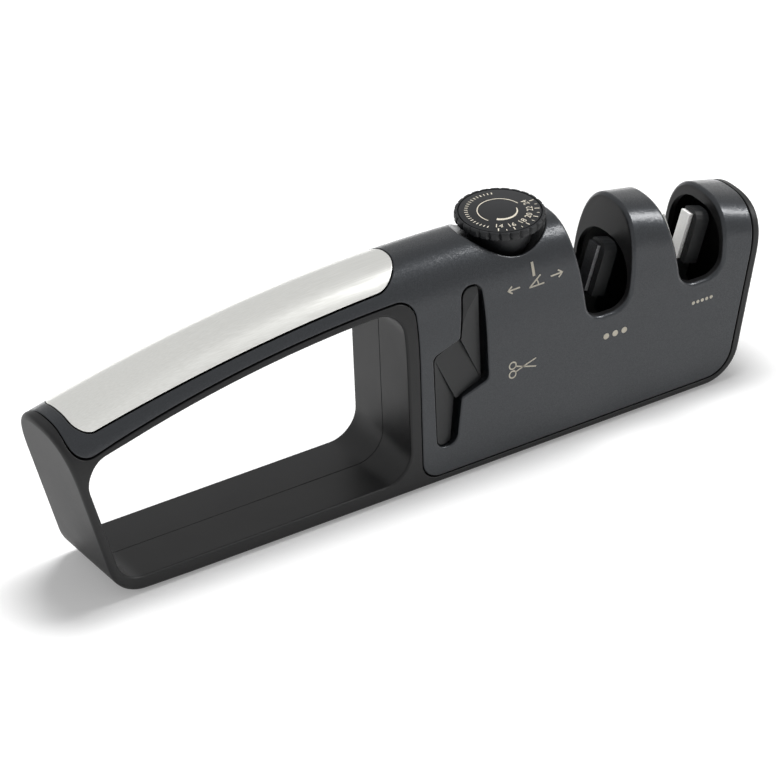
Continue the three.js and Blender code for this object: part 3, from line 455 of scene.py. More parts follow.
@dataclass
class Rim:
    """An edge of a skin: where it runs on the drawing, how its wall faces, its rounding and its wall."""
    spots: list
    walls: list
    radius: object  # one number, or a function of x
    tail: object
    dark_from: int = None  # the row of its rounding from which the second finish starts


def turned(spots, walls, hole):
    """The same edge with the material on its left."""
    flat = np.array(spots)
    ahead = np.roll(flat, -1, axis=0)
    area = float(np.sum(flat[:, 0] * ahead[:, 1] - ahead[:, 0] * flat[:, 1]))
    if (area > 0) == hole:
        return spots[::-1], walls and walls[::-1]
    return spots, walls


ROLL_STEPS = 5


def rim_rows(rim):
    """The rings of an edge, from the face round the arc and down the wall, with their normals."""
    count = len(rim.spots)
    points = [on_body(*spot) for spot in rim.spots]
    rows = [[] for _ in range(ROLL_STEPS + 1)]
    tails = []
    for i, point in enumerate(points):
        up = normal_at(point)
        if rim.walls:
            wall = rim.walls[i]
        else:
            wall = (points[(i + 1) % count] - points[i - 1]).cross(up).normalized()
        radius = rim.radius(point.x) if callable(rim.radius) else rim.radius
        centre = point - radius * (up + wall) / (1 + up.dot(wall))
        for k, row in enumerate(rows):
            lean = up.slerp(wall, k / ROLL_STEPS)
            row.append((centre + radius * lean, lean))
        tails.append([(spot, wall) for spot in rim.tail(rows[-1][-1][0], up, wall)])
    return rows + [list(row) for row in zip(*tails)]


# %% [markdown]
# The face between the edges is filled by a triangulation in the flat drawing, with a grid of points in
# it, so that the triangles follow the curve of the body. A triangle stays where it lies in the material.

# %% Filling a skin
GRID_X = 6.0
GRID_COLUMNS = 48  # across the arch, from shoulder to shoulder
GRID_CLEAR = 1.2  # left free along an edge
CLOSE = 1e-6  # places nearer than this are one place
TINY = 1e-12  # keeps a division from zero


def inside(spots, rings):
    """Which places lie in the material: an odd number of edges to their right."""
    spots = np.asarray(spots)
    odd = np.zeros(len(spots), bool)
    for ring in rings:
        for (x0, v0), (x1, v1) in zip(ring, np.roll(ring, -1, axis=0)):
            crosses = (v0 > spots[:, 1]) != (v1 > spots[:, 1])
            if crosses.any():
                edge_x = x0 + (spots[:, 1] - v0) * (x1 - x0) / (v1 - v0 + TINY)
                odd ^= crosses & (spots[:, 0] < edge_x)
    return odd


def grid_spots(rings):
    everything = np.concatenate(rings)
    low, high = everything.min(0), everything.max(0)
    step = 2 * SHOULDER_GIRTH / GRID_COLUMNS
    xs = np.arange(low[0], high[0], GRID_X)
    vs = np.arange(-SHOULDER_GIRTH, SHOULDER_GIRTH + step / 2, step)
    grid = np.array([(x, v) for x in xs for v in vs])
    grid = grid[inside(grid, rings)]
    near = np.array([np.min(np.hypot(*(everything - spot).T)) for spot in grid])
    return grid[near > GRID_CLEAR]


def rolled_skin(rims, split=False):
    """A skin on the body's surface between these edges. split keeps faces from crossing the ridge."""
    shape = Shape()
    flat, ids, edges, rings = [], [], [], []
    for rim in rims:
        rows = rim_rows(rim)
        first = shape.add_rows(rows, dark_from=rim.dark_from)
        ring = [(point.x, round_from_ridge(point)) for point, _ in rows[0]]
        start, count = len(flat), len(ring)
        flat += ring
        ids += range(first, first + count)
        edges += [(start + i, start + (i + 1) % count) for i in range(count)]
        rings.append(np.array(ring))
    if split:
        ridge = sorted((x, i) for i, (x, v) in enumerate(flat) if abs(v) < CLOSE)
        edges += [(a[1], b[1]) for a, b in zip(ridge[::2], ridge[1::2])]
    for x, v in grid_spots(rings):
        point = on_body(x, v)
        ids.append(shape.add_point(point, normal_at(point)))
        flat.append((x, v))
    spots, _, triangles, origins, _, _ = delaunay_2d_cdt(
        [Vector(spot) for spot in flat], edges, [], 0, CLOSE)
    middles = [sum((spots[i] for i in triangle), Vector((0, 0))) / 3 for triangle in triangles]
    for triangle, kept in zip(triangles, inside(middles, rings)):
        if kept:
            shape.faces.append(tuple(ids[origins[i][0]] for i in triangle))
    return shape


# %% [markdown]
# A finished shape becomes a piece: a mesh with its finish, riding on a body of the frame. The normals of
# a skin are known from the formula of the surface, and setting them keeps the shading clean.

# %% Pieces
SECOND_FINISH = 1


def new_mesh(name, points, faces):
    """A mesh from points in millimetres."""
    mesh = bpy.data.meshes.new(name)
    mesh.from_pydata([point * MM for point in points], [], faces)
    return mesh


def place_piece(name, mesh, materials, body, replaced=(), place=(0, 0, 0), turn=0.0):
    """Puts a mesh into the scene, riding on a body. It stands for the CAD nodes that it replaces."""
    for material in materials:
        mesh.materials.append(material)
    piece = add_object(name, mesh)
    piece.location = place
    piece.rotation_euler = (0, 0, turn)
    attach(piece, body)
    if replaced:
        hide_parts(*replaced)
    print(name, len(mesh.polygons), "faces")


def add_skin(name, shape, materials, replaced):
    """A skin of the body, which stays with the frame."""
    mesh = new_mesh(name, shape.points, shape.faces)
    mesh.shade_smooth()
    mesh.normals_split_custom_set_from_vertices(shape.normals)
    place_piece(name, mesh, materials, "frame", replaced)
    for i in shape.dark_faces:
        mesh.polygons[i].material_index = SECOND_FINISH


# %% [markdown]
# ## Outlines
# The cuts are drawn from the side, as straight runs with rounded corners. A cut that opens over the
# ridge is drawn once, from ridge to ridge, and mirrored to the back.

# %% Runs and corners
ARC_STEP = math.radians(7.5)
LEAST_ARC_STEPS = 3
RUN_STEP = 1.6
RIDGE_STEPS = 24  # along a run that ends at the ridge, closest together there
RIDGE_SHARE = 0.35


def from_ridge(length):
    """Shares of a run that starts at the ridge: even steps across the arch, then even steps down."""
    across = [(k / RIDGE_STEPS) ** ARCH_POWER for k in range(RIDGE_STEPS)]
    across = [share for share in across if share < RIDGE_SHARE]
    down = math.ceil(length * (1 - across[-1]) / RUN_STEP)
    return across + list(np.linspace(across[-1], 1, down + 1)[1:])


def corner_arc(before, here, after, radius):
    """Points round the corner between two straight runs."""
    back, ahead = (before - here).normalized(), (after - here).normalized()
    opening = math.acos(max(-1.0, min(1.0, back.dot(ahead))))
    centre = here + (back + ahead).normalized() * radius / math.sin(opening / 2)
    start = here + back * radius / math.tan(opening / 2) - centre
    end = here + ahead * radius / math.tan(opening / 2) - centre
    turn = math.copysign(math.pi - opening, start.x * end.y - start.y * end.x)
    steps = max(LEAST_ARC_STEPS, math.ceil(abs(turn) / ARC_STEP))
    arc = []
    for k in range(steps + 1):
        cosine, sine = math.cos(turn * k / steps), math.sin(turn * k / steps)
        swept = Vector((cosine * start.x - sine * start.y, sine * start.x + cosine * start.y))
        arc.append(centre + swept)
    return arc


def rounded(corners, closed=True):
    """Points along straight runs and corner arcs. A corner is (x, z) or (x, z, radius)."""
    places = [Vector(corner[:2]) for corner in corners]
    points = []
    for i, corner in enumerate(corners):
        if len(corner) == 2:
            points.append(places[i])
        else:
            points += corner_arc(places[i - 1], places[i], places[(i + 1) % len(places)], corner[2])
    fine = []
    for i, here in enumerate(points if closed else points[:-1]):
        there = points[(i + 1) % len(points)]
        length = (there - here).length
        if not closed and i == 0:
            shares = from_ridge(length)[:-1]
        elif not closed and i == len(points) - 2:
            shares = [1 - share for share in from_ridge(length)[:0:-1]]
        else:
            shares = np.arange(0, 1, 1 / max(1, math.ceil(length / RUN_STEP)))
        fine += [here.lerp(there, share) for share in shares]
    return fine if closed else fine + [points[-1]]


# %% [markdown]
# An outline becomes an edge of a skin when it is laid on the body. It also needs to know which way its
# wall faces at each point and where that wall ends.

# %% Edges on the body
SETTLE_ROUNDS = 8
ARC_MARGIN, ARC_POINTS = 14, 24  # the handle's long arc is left straight at its ends


def side_walls(path, closed, hole):
    """The way a wall across the body faces at each point of a path drawn anticlockwise."""
    walls = []
    for i, here in enumerate(path):
        before = path[i - 1] if closed or i else here
        after = path[(i + 1) % len(path)] if closed or i < len(path) - 1 else here
        run = (after - before).normalized()
        walls.append(Vector((run.y, 0, -run.x)) * (-1 if hole else 1))
    return walls


def over_ridge(path, hole, radius, tail, dark_from=None):
    """The edge of a cut that is open over the ridge, from its path on the front."""
    spots = [(x, front_round(x, z)) for x, z in path]
    walls = side_walls(path, False, hole)
    spots += [(x, -v) for x, v in spots[-2:0:-1]]
    walls += walls[-2:0:-1]
    return Rim(*turned(spots, walls, hole), radius, tail, dark_from)


def through_side(path, side, radius, tail):
    """The edge of a hole in the front (side -1) or the back (side 1)."""
    spots = [(x, -side * front_round(x, z)) for x, z in path]
    return Rim(*turned(spots, side_walls(path, True, True), True), radius, tail)


def ridge_end(line):
    """Where a slanted line, given as x for a height, meets the ridge."""
    x = line(SHOULDER_Z)
    for _ in range(SETTLE_ROUNDS):
        x = line(ridge_z(x))
    return x, ridge_z(x)


def handle_arc(drop, x0, x1):
    """Corners along an arc this far below the ridge."""
    inner = np.linspace(x0 + ARC_MARGIN, x1 - ARC_MARGIN, ARC_POINTS)
    return [(x, ridge_z(x, drop)) for x in (x0, *inner, x1)]


def down_wall(depth):
    """A wall that runs straight into the body."""
    def tail(point, up, wall):
        return [point - depth * (up - up.dot(wall) * wall).normalized()]
    return tail


# %% [markdown]
# ## Cover
# The cover is one moulding, painted gunmetal. It wraps over the whole right side and along the handle,
# and it is open at the notches, the scissors slots, the dial's dish and the bed of the steel plate.

# %% Cover outline
COVER_WALL = 2.1
GAP = 0.3  # round a piece that lies in another
LEFT_FOOT_X, LEFT_LEAN = -103.2, 0.3
RIGHT_FOOT_X, RIGHT_LEAN = 110.1, 0.195
BASE_CORNER = 12.0
COVER_LEFT_X = -117.0
COVER_DROP = 9.7
COVER_EDGE_X, COVER_EDGE_LEAN = -0.2, -0.05
COVER_BASE_Z = 3.2
COVER_RIM = 2.9
COVER_CORNER = 6.0
COVER_ROLL = 0.5


def left_end_x(z):
    return LEFT_FOOT_X - LEFT_LEAN * z


def right_end_x(z):
    return RIGHT_FOOT_X + RIGHT_LEAN * z


def cover_path(grow):
    left_x = COVER_LEFT_X - grow
    base_z = COVER_BASE_Z - grow
    edge_x = lambda z: COVER_EDGE_X + COVER_EDGE_LEAN * z - grow
    rim_x = lambda z: right_end_x(z) - COVER_RIM + grow
    arc = handle_arc(COVER_DROP + grow, left_x, edge_x(SHOULDER_Z))
    return rounded([
        (left_x, ridge_z(left_x)),
        (*arc[0], COVER_CORNER),
        *arc[1:-1],
        (*arc[-1], COVER_CORNER),
        (edge_x(base_z), base_z, COVER_CORNER),
        (rim_x(base_z), base_z, BASE_CORNER - COVER_RIM),
        ridge_end(rim_x),
    ], closed=False)


# %% [markdown]
# The knife goes into two notches, which widen a little upwards. The paint of the cover ends part of the
# way round their edge. The scissors slot is stepped, so that each blade meets its own rod.

# %% Notches and scissors slot
NOTCH_XS = (64.35, 97.55)  # coarse and fine
NOTCH_FLOOR_Z = 37.8
NOTCH_HALF = 6.9
NOTCH_TAPER = 0.14
NOTCH_CORNER = 6.0
NOTCH_ROLL = 1.3
NOTCH_TAIL = 0.1  # the frame's lining takes over from here
DARK_ROW = 4  # of the rounding, where the paint ends
SLOT_UPPER_X, SLOT_LOWER_X = 17.3, 7.9
SLOT_HALF, SLOT_END_HALF = 5.0, 3.4
SLOT_TOP_Z, SLOT_BOTTOM_Z = 62.0, 12.2
SLOT_STEP_TOP_Z, SLOT_STEP_BOTTOM_Z, SLOT_STEP_RISE = 47.0, 27.0, 3.2
SLOT_ROUND, STEP_ROUND, STEP_CREASE = 3.2, 2.0, 1.0
SLOT_ROLL = 0.6


def notch_path(x):
    side = lambda z: NOTCH_HALF + NOTCH_TAPER * (z - NOTCH_FLOOR_Z)
    return rounded([
        ridge_end(lambda z: x - side(z)),
        (x - NOTCH_HALF, NOTCH_FLOOR_Z, NOTCH_CORNER),
        (x + NOTCH_HALF, NOTCH_FLOOR_Z, NOTCH_CORNER),
        ridge_end(lambda z: x + side(z)),
    ], closed=False)


def slot_path():
    upper_left, upper_right = SLOT_UPPER_X - SLOT_HALF, SLOT_UPPER_X + SLOT_HALF
    lower_left, lower_right = SLOT_LOWER_X - SLOT_HALF, SLOT_LOWER_X + SLOT_HALF
    return rounded([
        (SLOT_LOWER_X - SLOT_END_HALF, SLOT_BOTTOM_Z, SLOT_ROUND),
        (SLOT_LOWER_X + SLOT_END_HALF, SLOT_BOTTOM_Z, SLOT_ROUND),
        (lower_right, SLOT_STEP_BOTTOM_Z, STEP_CREASE),
        (upper_right, SLOT_STEP_BOTTOM_Z + SLOT_STEP_RISE, STEP_ROUND),
        (SLOT_UPPER_X + SLOT_END_HALF, SLOT_TOP_Z, SLOT_ROUND),
        (SLOT_UPPER_X - SLOT_END_HALF, SLOT_TOP_Z, SLOT_ROUND),
        (upper_left, SLOT_STEP_TOP_Z, STEP_CREASE),
        (lower_left, SLOT_STEP_TOP_Z - SLOT_STEP_RISE, STEP_ROUND),
    ])


# %% [markdown]
# The dial sits in a dish, a shallow cone. Where the cone meets the curved top is found point by point:
# the radius is moved until the surface there is as high as the cone.

# %% Dish of the dial
DIAL_X = MM_PER_METRE * (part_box("dial_knob")[0].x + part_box("dial_knob")[1].x) / 2
DISH_FLOOR_Z = 61.8
DISH_FLOOR_RADIUS = 8.9
DISH_SLOPE = 0.59
DISH_HOLE_RADIUS = 5.1
DISH_SIDES = 96
DISH_ROLL = 0.6
DISH_NARROW = 0.07  # how much narrower the dish is across the body
DISH_ROUNDS, DISH_PACE = 30, 0.5  # of the search for its edge


def dish_floor(point, up, wall):
    """The cone's wall down to its floor, and the floor in to the hole for the shaft."""
    angle = math.atan2(point.y, point.x - DIAL_X)
    around = Vector((math.cos(angle), math.sin(angle), 0))
    middle = Vector((DIAL_X, 0, DISH_FLOOR_Z))
    return [middle + DISH_FLOOR_RADIUS * around, middle + DISH_HOLE_RADIUS * around]


def dish_rim():
    spots, walls = [], []
    for i in range(DISH_SIDES):
        angle = 2 * math.pi * i / DISH_SIDES
        radius = DISH_FLOOR_RADIUS
        for _ in range(DISH_ROUNDS):
            x, y = DIAL_X + radius * math.cos(angle), radius * math.sin(angle)
            z = SHOULDER_Z + (ridge_z(x) - SHOULDER_Z) * arch(abs(y) / HALF)
            cone = DISH_FLOOR_RADIUS + DISH_SLOPE * (z - DISH_FLOOR_Z)
            radius += DISH_PACE * (cone * (1 - DISH_NARROW * math.sin(angle) ** 2) - radius)
        spots.append((x, round_from_ridge(Vector((x, y, z)))))
        walls.append(Vector((-math.cos(angle), -math.sin(angle), DISH_SLOPE)).normalized())
    return Rim(*turned(spots, walls, True), DISH_ROLL, dish_floor)


# %% [markdown]
# The steel plate lies flush in a bed of the cover. Its outline is drawn from above, and its edge stands
# square to the curved surface. Its right end is nearly a half circle.

# %% Plate outline and the cover
PLATE_LEFT_X, PLATE_RIGHT_X = -113.2, -3.6
PLATE_HALF_LEFT, PLATE_HALF_RIGHT = 10.9, 9.8
PLATE_CORNER, PLATE_RIGHT_CORNER = 5.5, 9.4
PLATE_SHEET = 0.7
PLATE_ROLL = 0.3


def plate_rim(grow, hole):
    outline = rounded([
        (PLATE_LEFT_X - grow, -PLATE_HALF_LEFT - grow, PLATE_CORNER + grow),
        (PLATE_RIGHT_X + grow, -PLATE_HALF_RIGHT - grow, PLATE_RIGHT_CORNER + grow),
        (PLATE_RIGHT_X + grow, PLATE_HALF_RIGHT + grow, PLATE_RIGHT_CORNER + grow),
        (PLATE_LEFT_X - grow, PLATE_HALF_LEFT + grow, PLATE_CORNER + grow),
    ])
    spots = [(x, math.copysign(float(np.interp(abs(y) / HALF, unit_y, girth)), y)) for x, y in outline]
    return Rim(*turned(spots, None, hole), PLATE_ROLL, down_wall(PLATE_SHEET))


into_cover, into_notch = down_wall(COVER_WALL), down_wall(NOTCH_TAIL)
cover_rims = [over_ridge(cover_path(0), False, COVER_ROLL, into_cover)]
cover_rims += [over_ridge(notch_path(x), True, NOTCH_ROLL, into_notch, DARK_ROW) for x in NOTCH_XS]
cover_rims += [through_side(slot_path(), side, SLOT_ROLL, into_cover) for side in (-1, 1)]
cover_rims += [dish_rim(), plate_rim(GAP, True)]
add_skin("cover_shell", rolled_skin(cover_rims), [gunmetal, black_abs], ["top_cover"])
add_skin("handle_steel", rolled_skin([plate_rim(0, False)]), [steel], ["handle_plate"])

# %% [markdown]
# ## Frame
# The frame is two black mouldings that meet at mid-thickness. What shows of it is the rim round the
# cover, the handle's window, the two ends and the lining of the notches. In the window a fine groove is
# left at the parting line, while the outer edge shows no mark.

# %% Frame outlines and walls
BASE_Z = 0.8
LEG = 2.8
WINDOW_BAR = 4.8
WINDOW_DROP = 12.0
WINDOW_WALL_X, WINDOW_WALL_LEAN = -3.9, -0.07
WINDOW_LOW_CORNER, WINDOW_TOP_CORNER = 9.0, 8.0
FRAME_ROLL, LEFT_ROLL = 1.1, 1.6
LEFT_ROLL_SPAN = (-95.0, -80.0)
PARTING = 0.15
GROOVE = 0.5


def frame_path():
    return rounded([
        ridge_end(left_end_x),
        (left_end_x(BASE_Z), BASE_Z, BASE_CORNER),
        (right_end_x(BASE_Z), BASE_Z, BASE_CORNER),
        ridge_end(right_end_x),
    ], closed=False)


def window_path():
    bar_z = BASE_Z + WINDOW_BAR
    left_x = lambda z: left_end_x(z) + LEG
    right_x = lambda z: WINDOW_WALL_X + WINDOW_WALL_LEAN * z
    arc = handle_arc(WINDOW_DROP, left_x(SHOULDER_Z), right_x(SHOULDER_Z))
    return rounded([
        (left_x(bar_z), bar_z, BASE_CORNER - LEG),
        (right_x(bar_z), bar_z, WINDOW_LOW_CORNER),
        (*arc[-1], WINDOW_TOP_CORNER),
        *arc[-2:0:-1],
        (left_x(arc[0][1]), arc[0][1], WINDOW_TOP_CORNER),
    ])


def frame_roll(x):
    """The rounding of the frame's outer edge, softer at the end of the handle."""
    return float(np.interp(x, LEFT_ROLL_SPAN, (LEFT_ROLL, FRAME_ROLL)))


def to_middle(point, up, wall):
    """A wall across the body up to mid-thickness, where the halves meet without a mark."""
    return [Vector((point.x, 0, point.z))]


def to_parting(point, up, wall):
    """A wall across the body, up to the groove where the halves meet."""
    edge = Vector((point.x, math.copysign(PARTING, point.y), point.z))
    return [edge, edge - GROOVE * wall, Vector((point.x, 0, point.z)) - GROOVE * wall]


# %% [markdown]
# Under the cover, each notch is lined by walls of the frame. They are open in the middle, where the
# holder arms stand, and that opening is high enough for the arms at their widest angle.

# %% Lining of the notches
LINING_INSET = NOTCH_ROLL
LINING_WALL = 2.0
LINING_SPLIT = 6  # steps that each piece of a notch's path is cut into
ARM_WINDOW_HALF = 12.6
ARM_WINDOW_TOP = 55.0
ARM_WINDOW_CORNER = 11.0


def lining_y(x, z):
    """Half the width of the frame under the cover at this place."""
    if z <= SHOULDER_Z:
        return HALF - LINING_INSET
    rise = ridge_z(x, LINING_INSET) - SHOULDER_Z
    return (HALF - LINING_INSET) * arch((z - SHOULDER_Z) / rise)


def arm_window_y(z):
    """Half the width of the opening for the holder arms, round at its top."""
    above = max(0.0, z - (ARM_WINDOW_TOP - ARM_WINDOW_CORNER))
    if above >= ARM_WINDOW_CORNER:
        return 0.0
    return ARM_WINDOW_HALF - ARM_WINDOW_CORNER + math.sqrt(ARM_WINDOW_CORNER ** 2 - above ** 2)


def add_lining(shape, notch_x):
    """The walls of a notch under the cover, with the opening's edge turned in."""
    sparse = notch_path(notch_x)
    path = []
    for here, there in zip(sparse, sparse[1:]):
        path += [here.lerp(there, k / LINING_SPLIT) for k in range(LINING_SPLIT)]
    path.append(sparse[-1])
    walls = side_walls(path, False, True)
    for side in (-1, 1):
        for i in range(len(path) - 1):
            rows = [[], [], []]
            for k in (i, i + 1) if side > 0 else (i + 1, i):
                (x, z), wall = path[k], walls[k]
                inner_y = arm_window_y(z)
                outer = Vector((x, side * max(lining_y(x, z), inner_y), z))
                inner = Vector((x, side * inner_y, z))
                for row, point in zip(rows, (outer, inner, inner - LINING_WALL * wall)):
                    row.append((point, wall))
            shape.add_rows(rows, closed=False)


# %% [markdown]
# Both halves come from one skin over the whole frame, shared out at mid-thickness.

# %% Frame halves
WINDOW_ROLL = 0.8
SEAT_ROLL = 0.25


def half_of(shape, side):
    """The faces of a skin on one side of mid-thickness."""
    kept = [face for face in shape.faces if side * sum(shape.points[i].y for i in face) > 0]
    used = sorted({i for face in kept for i in face})
    places = {old: new for new, old in enumerate(used)}
    return Shape([shape.points[i] for i in used], [shape.normals[i] for i in used],
                 [tuple(places[i] for i in face) for face in kept])


frame_rims = [over_ridge(frame_path(), False, frame_roll, to_middle)]
frame_rims += [over_ridge(cover_path(GAP), True, SEAT_ROLL, into_cover)]
frame_rims += [through_side(window_path(), side, WINDOW_ROLL, to_parting) for side in (-1, 1)]
frame_skin = rolled_skin(frame_rims, split=True)
for notch_x in NOTCH_XS:
    add_lining(frame_skin, notch_x)
add_skin("frame_front_half", half_of(frame_skin, -1), [black_abs], ["front_frame"])
add_skin("frame_rear_half", half_of(frame_skin, 1), [black_abs], ["rear_frame"])

# %% [markdown]
# ## Dial
# The dial is a turned knob with fluted sides for grip and a flat printed face. It is drawn as rings, and
# the rings of its rim are cut back at each flute.

# %% Dial rings
DIAL_RADIUS = 13.3
DIAL_TOP_Z = MM_PER_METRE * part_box("dial_knob")[1].z
DIAL_FLUTES = 26
FLUTE_DEPTH = 0.6
FLUTE_SHARPNESS = 14
FLUTE_POINTS = 16
RING_POINTS = DIAL_FLUTES * FLUTE_POINTS
SHARP_ANGLE = math.radians(40)


def dial_ring(radius, z, flute):
    """A ring of the knob, with this share of the flutes' depth."""
    ring = []
    for i in range(RING_POINTS):
        angle = 2 * math.pi * i / RING_POINTS
        cut = flute * FLUTE_DEPTH * abs(math.cos(angle * DIAL_FLUTES / 2)) ** FLUTE_SHARPNESS
        reach = radius - cut
        ring.append(Vector((DIAL_X + reach * math.cos(angle), reach * math.sin(angle), z)))
    return ring


def turned_piece(name, profile, replaced):
    """A round piece of the dial from its profile, from the top's middle outwards and down."""
    shape = Shape(faces=[tuple(range(RING_POINTS))])
    shape.add_rows([[(point, None) for point in dial_ring(*row)] for row in profile])
    mesh = new_mesh(name, shape.points, shape.faces)
    mesh.shade_smooth()
    mesh.set_sharp_from_angle(angle=SHARP_ANGLE)
    place_piece(name, mesh, [dial_plastic], "knob", replaced)


# %% [markdown]
# A profile is a list of rings: radius, height and share of the flutes. Its small steps round the edges
# of the rim and of the face. The face lies in a bed of the knob with a fine gap round it.

# %% Knob and face
RIM_HEIGHT = 2.4
NECK_RADIUS = 10.0
HUB_RADIUS, HUB_Z = 9.0, 66.3
SKIRT_RADIUS, SKIRT_Z = 7.5, 63.7  # hides the spring, and clears the dish when pressed
FACE_RADIUS = 12.0
FACE_GAP = 0.25
FACE_DEPTH = 0.5

top, rim_low = DIAL_TOP_Z, DIAL_TOP_Z - RIM_HEIGHT
bed = FACE_RADIUS + FACE_GAP
KNOB_PROFILE = (
    (bed, top - 2 * FACE_DEPTH, 0), (bed, top - 0.15, 0), (bed + 0.1, top, 0),
    (DIAL_RADIUS - 0.6, top, 0.3), (DIAL_RADIUS - 0.25, top - 0.1, 0.7),
    (DIAL_RADIUS - 0.06, top - 0.3, 1), (DIAL_RADIUS, top - 0.55, 1),
    (DIAL_RADIUS, rim_low + 0.4, 1), (DIAL_RADIUS - 0.3, rim_low, 1), (DIAL_RADIUS - 1.2, rim_low, 0),
    (NECK_RADIUS, rim_low, 0), (HUB_RADIUS, HUB_Z, 0), (SKIRT_RADIUS, SKIRT_Z, 0),
)
FACE_PROFILE = (
    (FACE_RADIUS - 0.2, top, 0), (FACE_RADIUS - 0.06, top - 0.06, 0),
    (FACE_RADIUS, top - 0.2, 0), (FACE_RADIUS, top - FACE_DEPTH, 0),
)
turned_piece("dial_knob_turned", KNOB_PROFILE, ["dial_knob"])
turned_piece("dial_face_disc", FACE_PROFILE, ["dial_face"])

# %% [markdown]
# ## Printed marks
# The marks are ink, a few hundredths of a millimetre thick. The dial's figures are the sharpening
# angles, plain text turned to lie round the face.

# %% Dial figures
INK = 0.03
FIGURE_HEIGHT = 1.9
FONT_PER_HEIGHT = 1.4  # the font size that gives a figure of height 1
FIGURE_RADIUS = 8.7
FIGURES = (14, 16, 18, 20, 22, 24)
REST_FIGURE = 18
POINTER_ANGLE = -76.7
DEGREES_PER_FIGURE = 25.0


def figure_angle(figure):
    return math.radians(POINTER_ANGLE + (figure - REST_FIGURE) / 2 * DEGREES_PER_FIGURE)


def ray(angle, reach):
    """Places on the dial in one direction from its middle, this far out."""
    return [(radius * math.cos(angle), radius * math.sin(angle)) for radius in reach]


for figure in FIGURES:
    angle = figure_angle(figure)
    writing = bpy.data.curves.new(f"figure_{figure}", "FONT")
    writing.body = str(figure)
    writing.size = FIGURE_HEIGHT * FONT_PER_HEIGHT * MM
    writing.align_x = "CENTER"
    writing.align_y = "CENTER"
    writing.extrude = INK * MM
    curve = add_object(f"figure_{figure}", writing)
    shown = curve.evaluated_get(bpy.context.evaluated_depsgraph_get())
    figure_mesh = bpy.data.meshes.new_from_object(shown)
    bpy.data.objects.remove(curve)
    figure_mesh.materials.clear()
    (x, y), = ray(angle, (FIGURE_RADIUS,))
    place_piece(f"dial_figure_{figure}", figure_mesh, [ink], "knob",
                place=Vector((DIAL_X + x, y, top)) * MM, turn=angle + math.pi / 2)

# %% [markdown]
# Lines and dots of ink are strips that follow the surface under them. A strip is given by its middle
# line and its width; it is cut into short lengths, so that it bends with a curved wall.

# %% Strokes of ink
STROKE_STEP = 0.5
DOT_SIDES = 20
ARC_DEGREES = 6  # to a step of a printed arc


def stroke(points, widths):
    """Quads along a line of flat places, as wide at each as given."""
    fine = []
    for (here, wide), (there, next_wide) in zip(zip(points, widths), zip(points[1:], widths[1:])):
        pieces = max(1, math.ceil((Vector(there) - Vector(here)).length / STROKE_STEP))
        fine += [(Vector(here).lerp(Vector(there), k / pieces), wide + (next_wide - wide) * k / pieces)
                 for k in range(pieces)]
    fine.append((Vector(points[-1]), widths[-1]))
    spots, faces = [], []
    for i, (here, wide) in enumerate(fine):
        run = (fine[min(i + 1, len(fine) - 1)][0] - fine[max(i - 1, 0)][0]).normalized()
        aside = Vector((-run.y, run.x)) * wide / 2
        spots += [here + aside, here - aside]
        if i:
            faces.append((2 * i - 2, 2 * i - 1, 2 * i + 1, 2 * i))
    return spots, faces


def even_stroke(points, width):
    return stroke(points, [width] * len(points))


def dot(x, z, radius):
    spots = [Vector((x, z))]
    for k in range(DOT_SIDES):
        angle = 2 * math.pi * k / DOT_SIDES
        spots.append(Vector((x + radius * math.cos(angle), z + radius * math.sin(angle))))
    return spots, [(0, k, k % DOT_SIDES + 1) for k in range(1, DOT_SIDES + 1)]


def arc_places(centre, radius, start, end):
    """Places along an arc, with its angles in degrees."""
    steps = max(2, math.ceil(abs(end - start) / ARC_DEGREES))
    angles = [math.radians(start + (end - start) * k / steps) for k in range(steps + 1)]
    x, y = centre
    return [(x + radius * math.cos(angle), y + radius * math.sin(angle)) for angle in angles]


def print_marks(name, marks, lay, body):
    """Makes one piece of ink from flat marks, laid on the object by a function."""
    points, faces = [], []
    for spots, mark_faces in marks:
        faces += [tuple(i + len(points) for i in face) for face in mark_faces]
        points += [lay(spot) for spot in spots]
    place_piece(name, new_mesh(name, points, faces), [ink], body)


# %% [markdown]
# Round the figures run ticks, with short ones for the degrees between them. A wedge shows which way
# the angle grows, and plain arcs and dashes fill the rest of the face.

# %% Dial scale
TICK, TICK_WIDTH = (10.0, 11.5), 0.35
SHORT_TICK, SHORT_TICK_WIDTH = (10.6, 11.4), 0.25
WEDGE_RADIUS, WEDGE_ARC, WEDGE_WIDTHS = 5.0, (-135, -15), (1.1, 0.25)
RING_RADIUS, RING_ARC, RING_WIDTH = 6.6, (5, 205), 0.3
DASH, DASH_ARC, DASH_COUNT, DASH_WIDTH = (9.3, 10.3), (70, 215), 22, 0.3


def on_dial(spot):
    return Vector((DIAL_X + spot.x, spot.y, top + INK))


scale_marks = [even_stroke(ray(figure_angle(figure), TICK), TICK_WIDTH) for figure in FIGURES]
scale_marks += [even_stroke(ray(figure_angle(figure + 1), SHORT_TICK), SHORT_TICK_WIDTH)
                for figure in FIGURES[:-1]]
wedge = arc_places((0, 0), WEDGE_RADIUS, *WEDGE_ARC)
scale_marks.append(stroke(wedge, np.linspace(*WEDGE_WIDTHS, len(wedge))))
scale_marks.append(even_stroke(arc_places((0, 0), RING_RADIUS, *RING_ARC), RING_WIDTH))
scale_marks += [even_stroke(ray(math.radians(angle), DASH), DASH_WIDTH)
                for angle in np.linspace(*DASH_ARC, DASH_COUNT)]
print_marks("dial_scale", scale_marks, on_dial, "knob")

# %% [markdown]
# On the front, a line points at the dial. Under it stand an angle sign and two arrows; beside the slot a
# pair of scissors; and under the notches dots for the grit, few large ones for coarse and more small
# ones for fine. Each sign is drawn round its own middle and laid on the curved front by the same drawing
# that the cover was cut from.

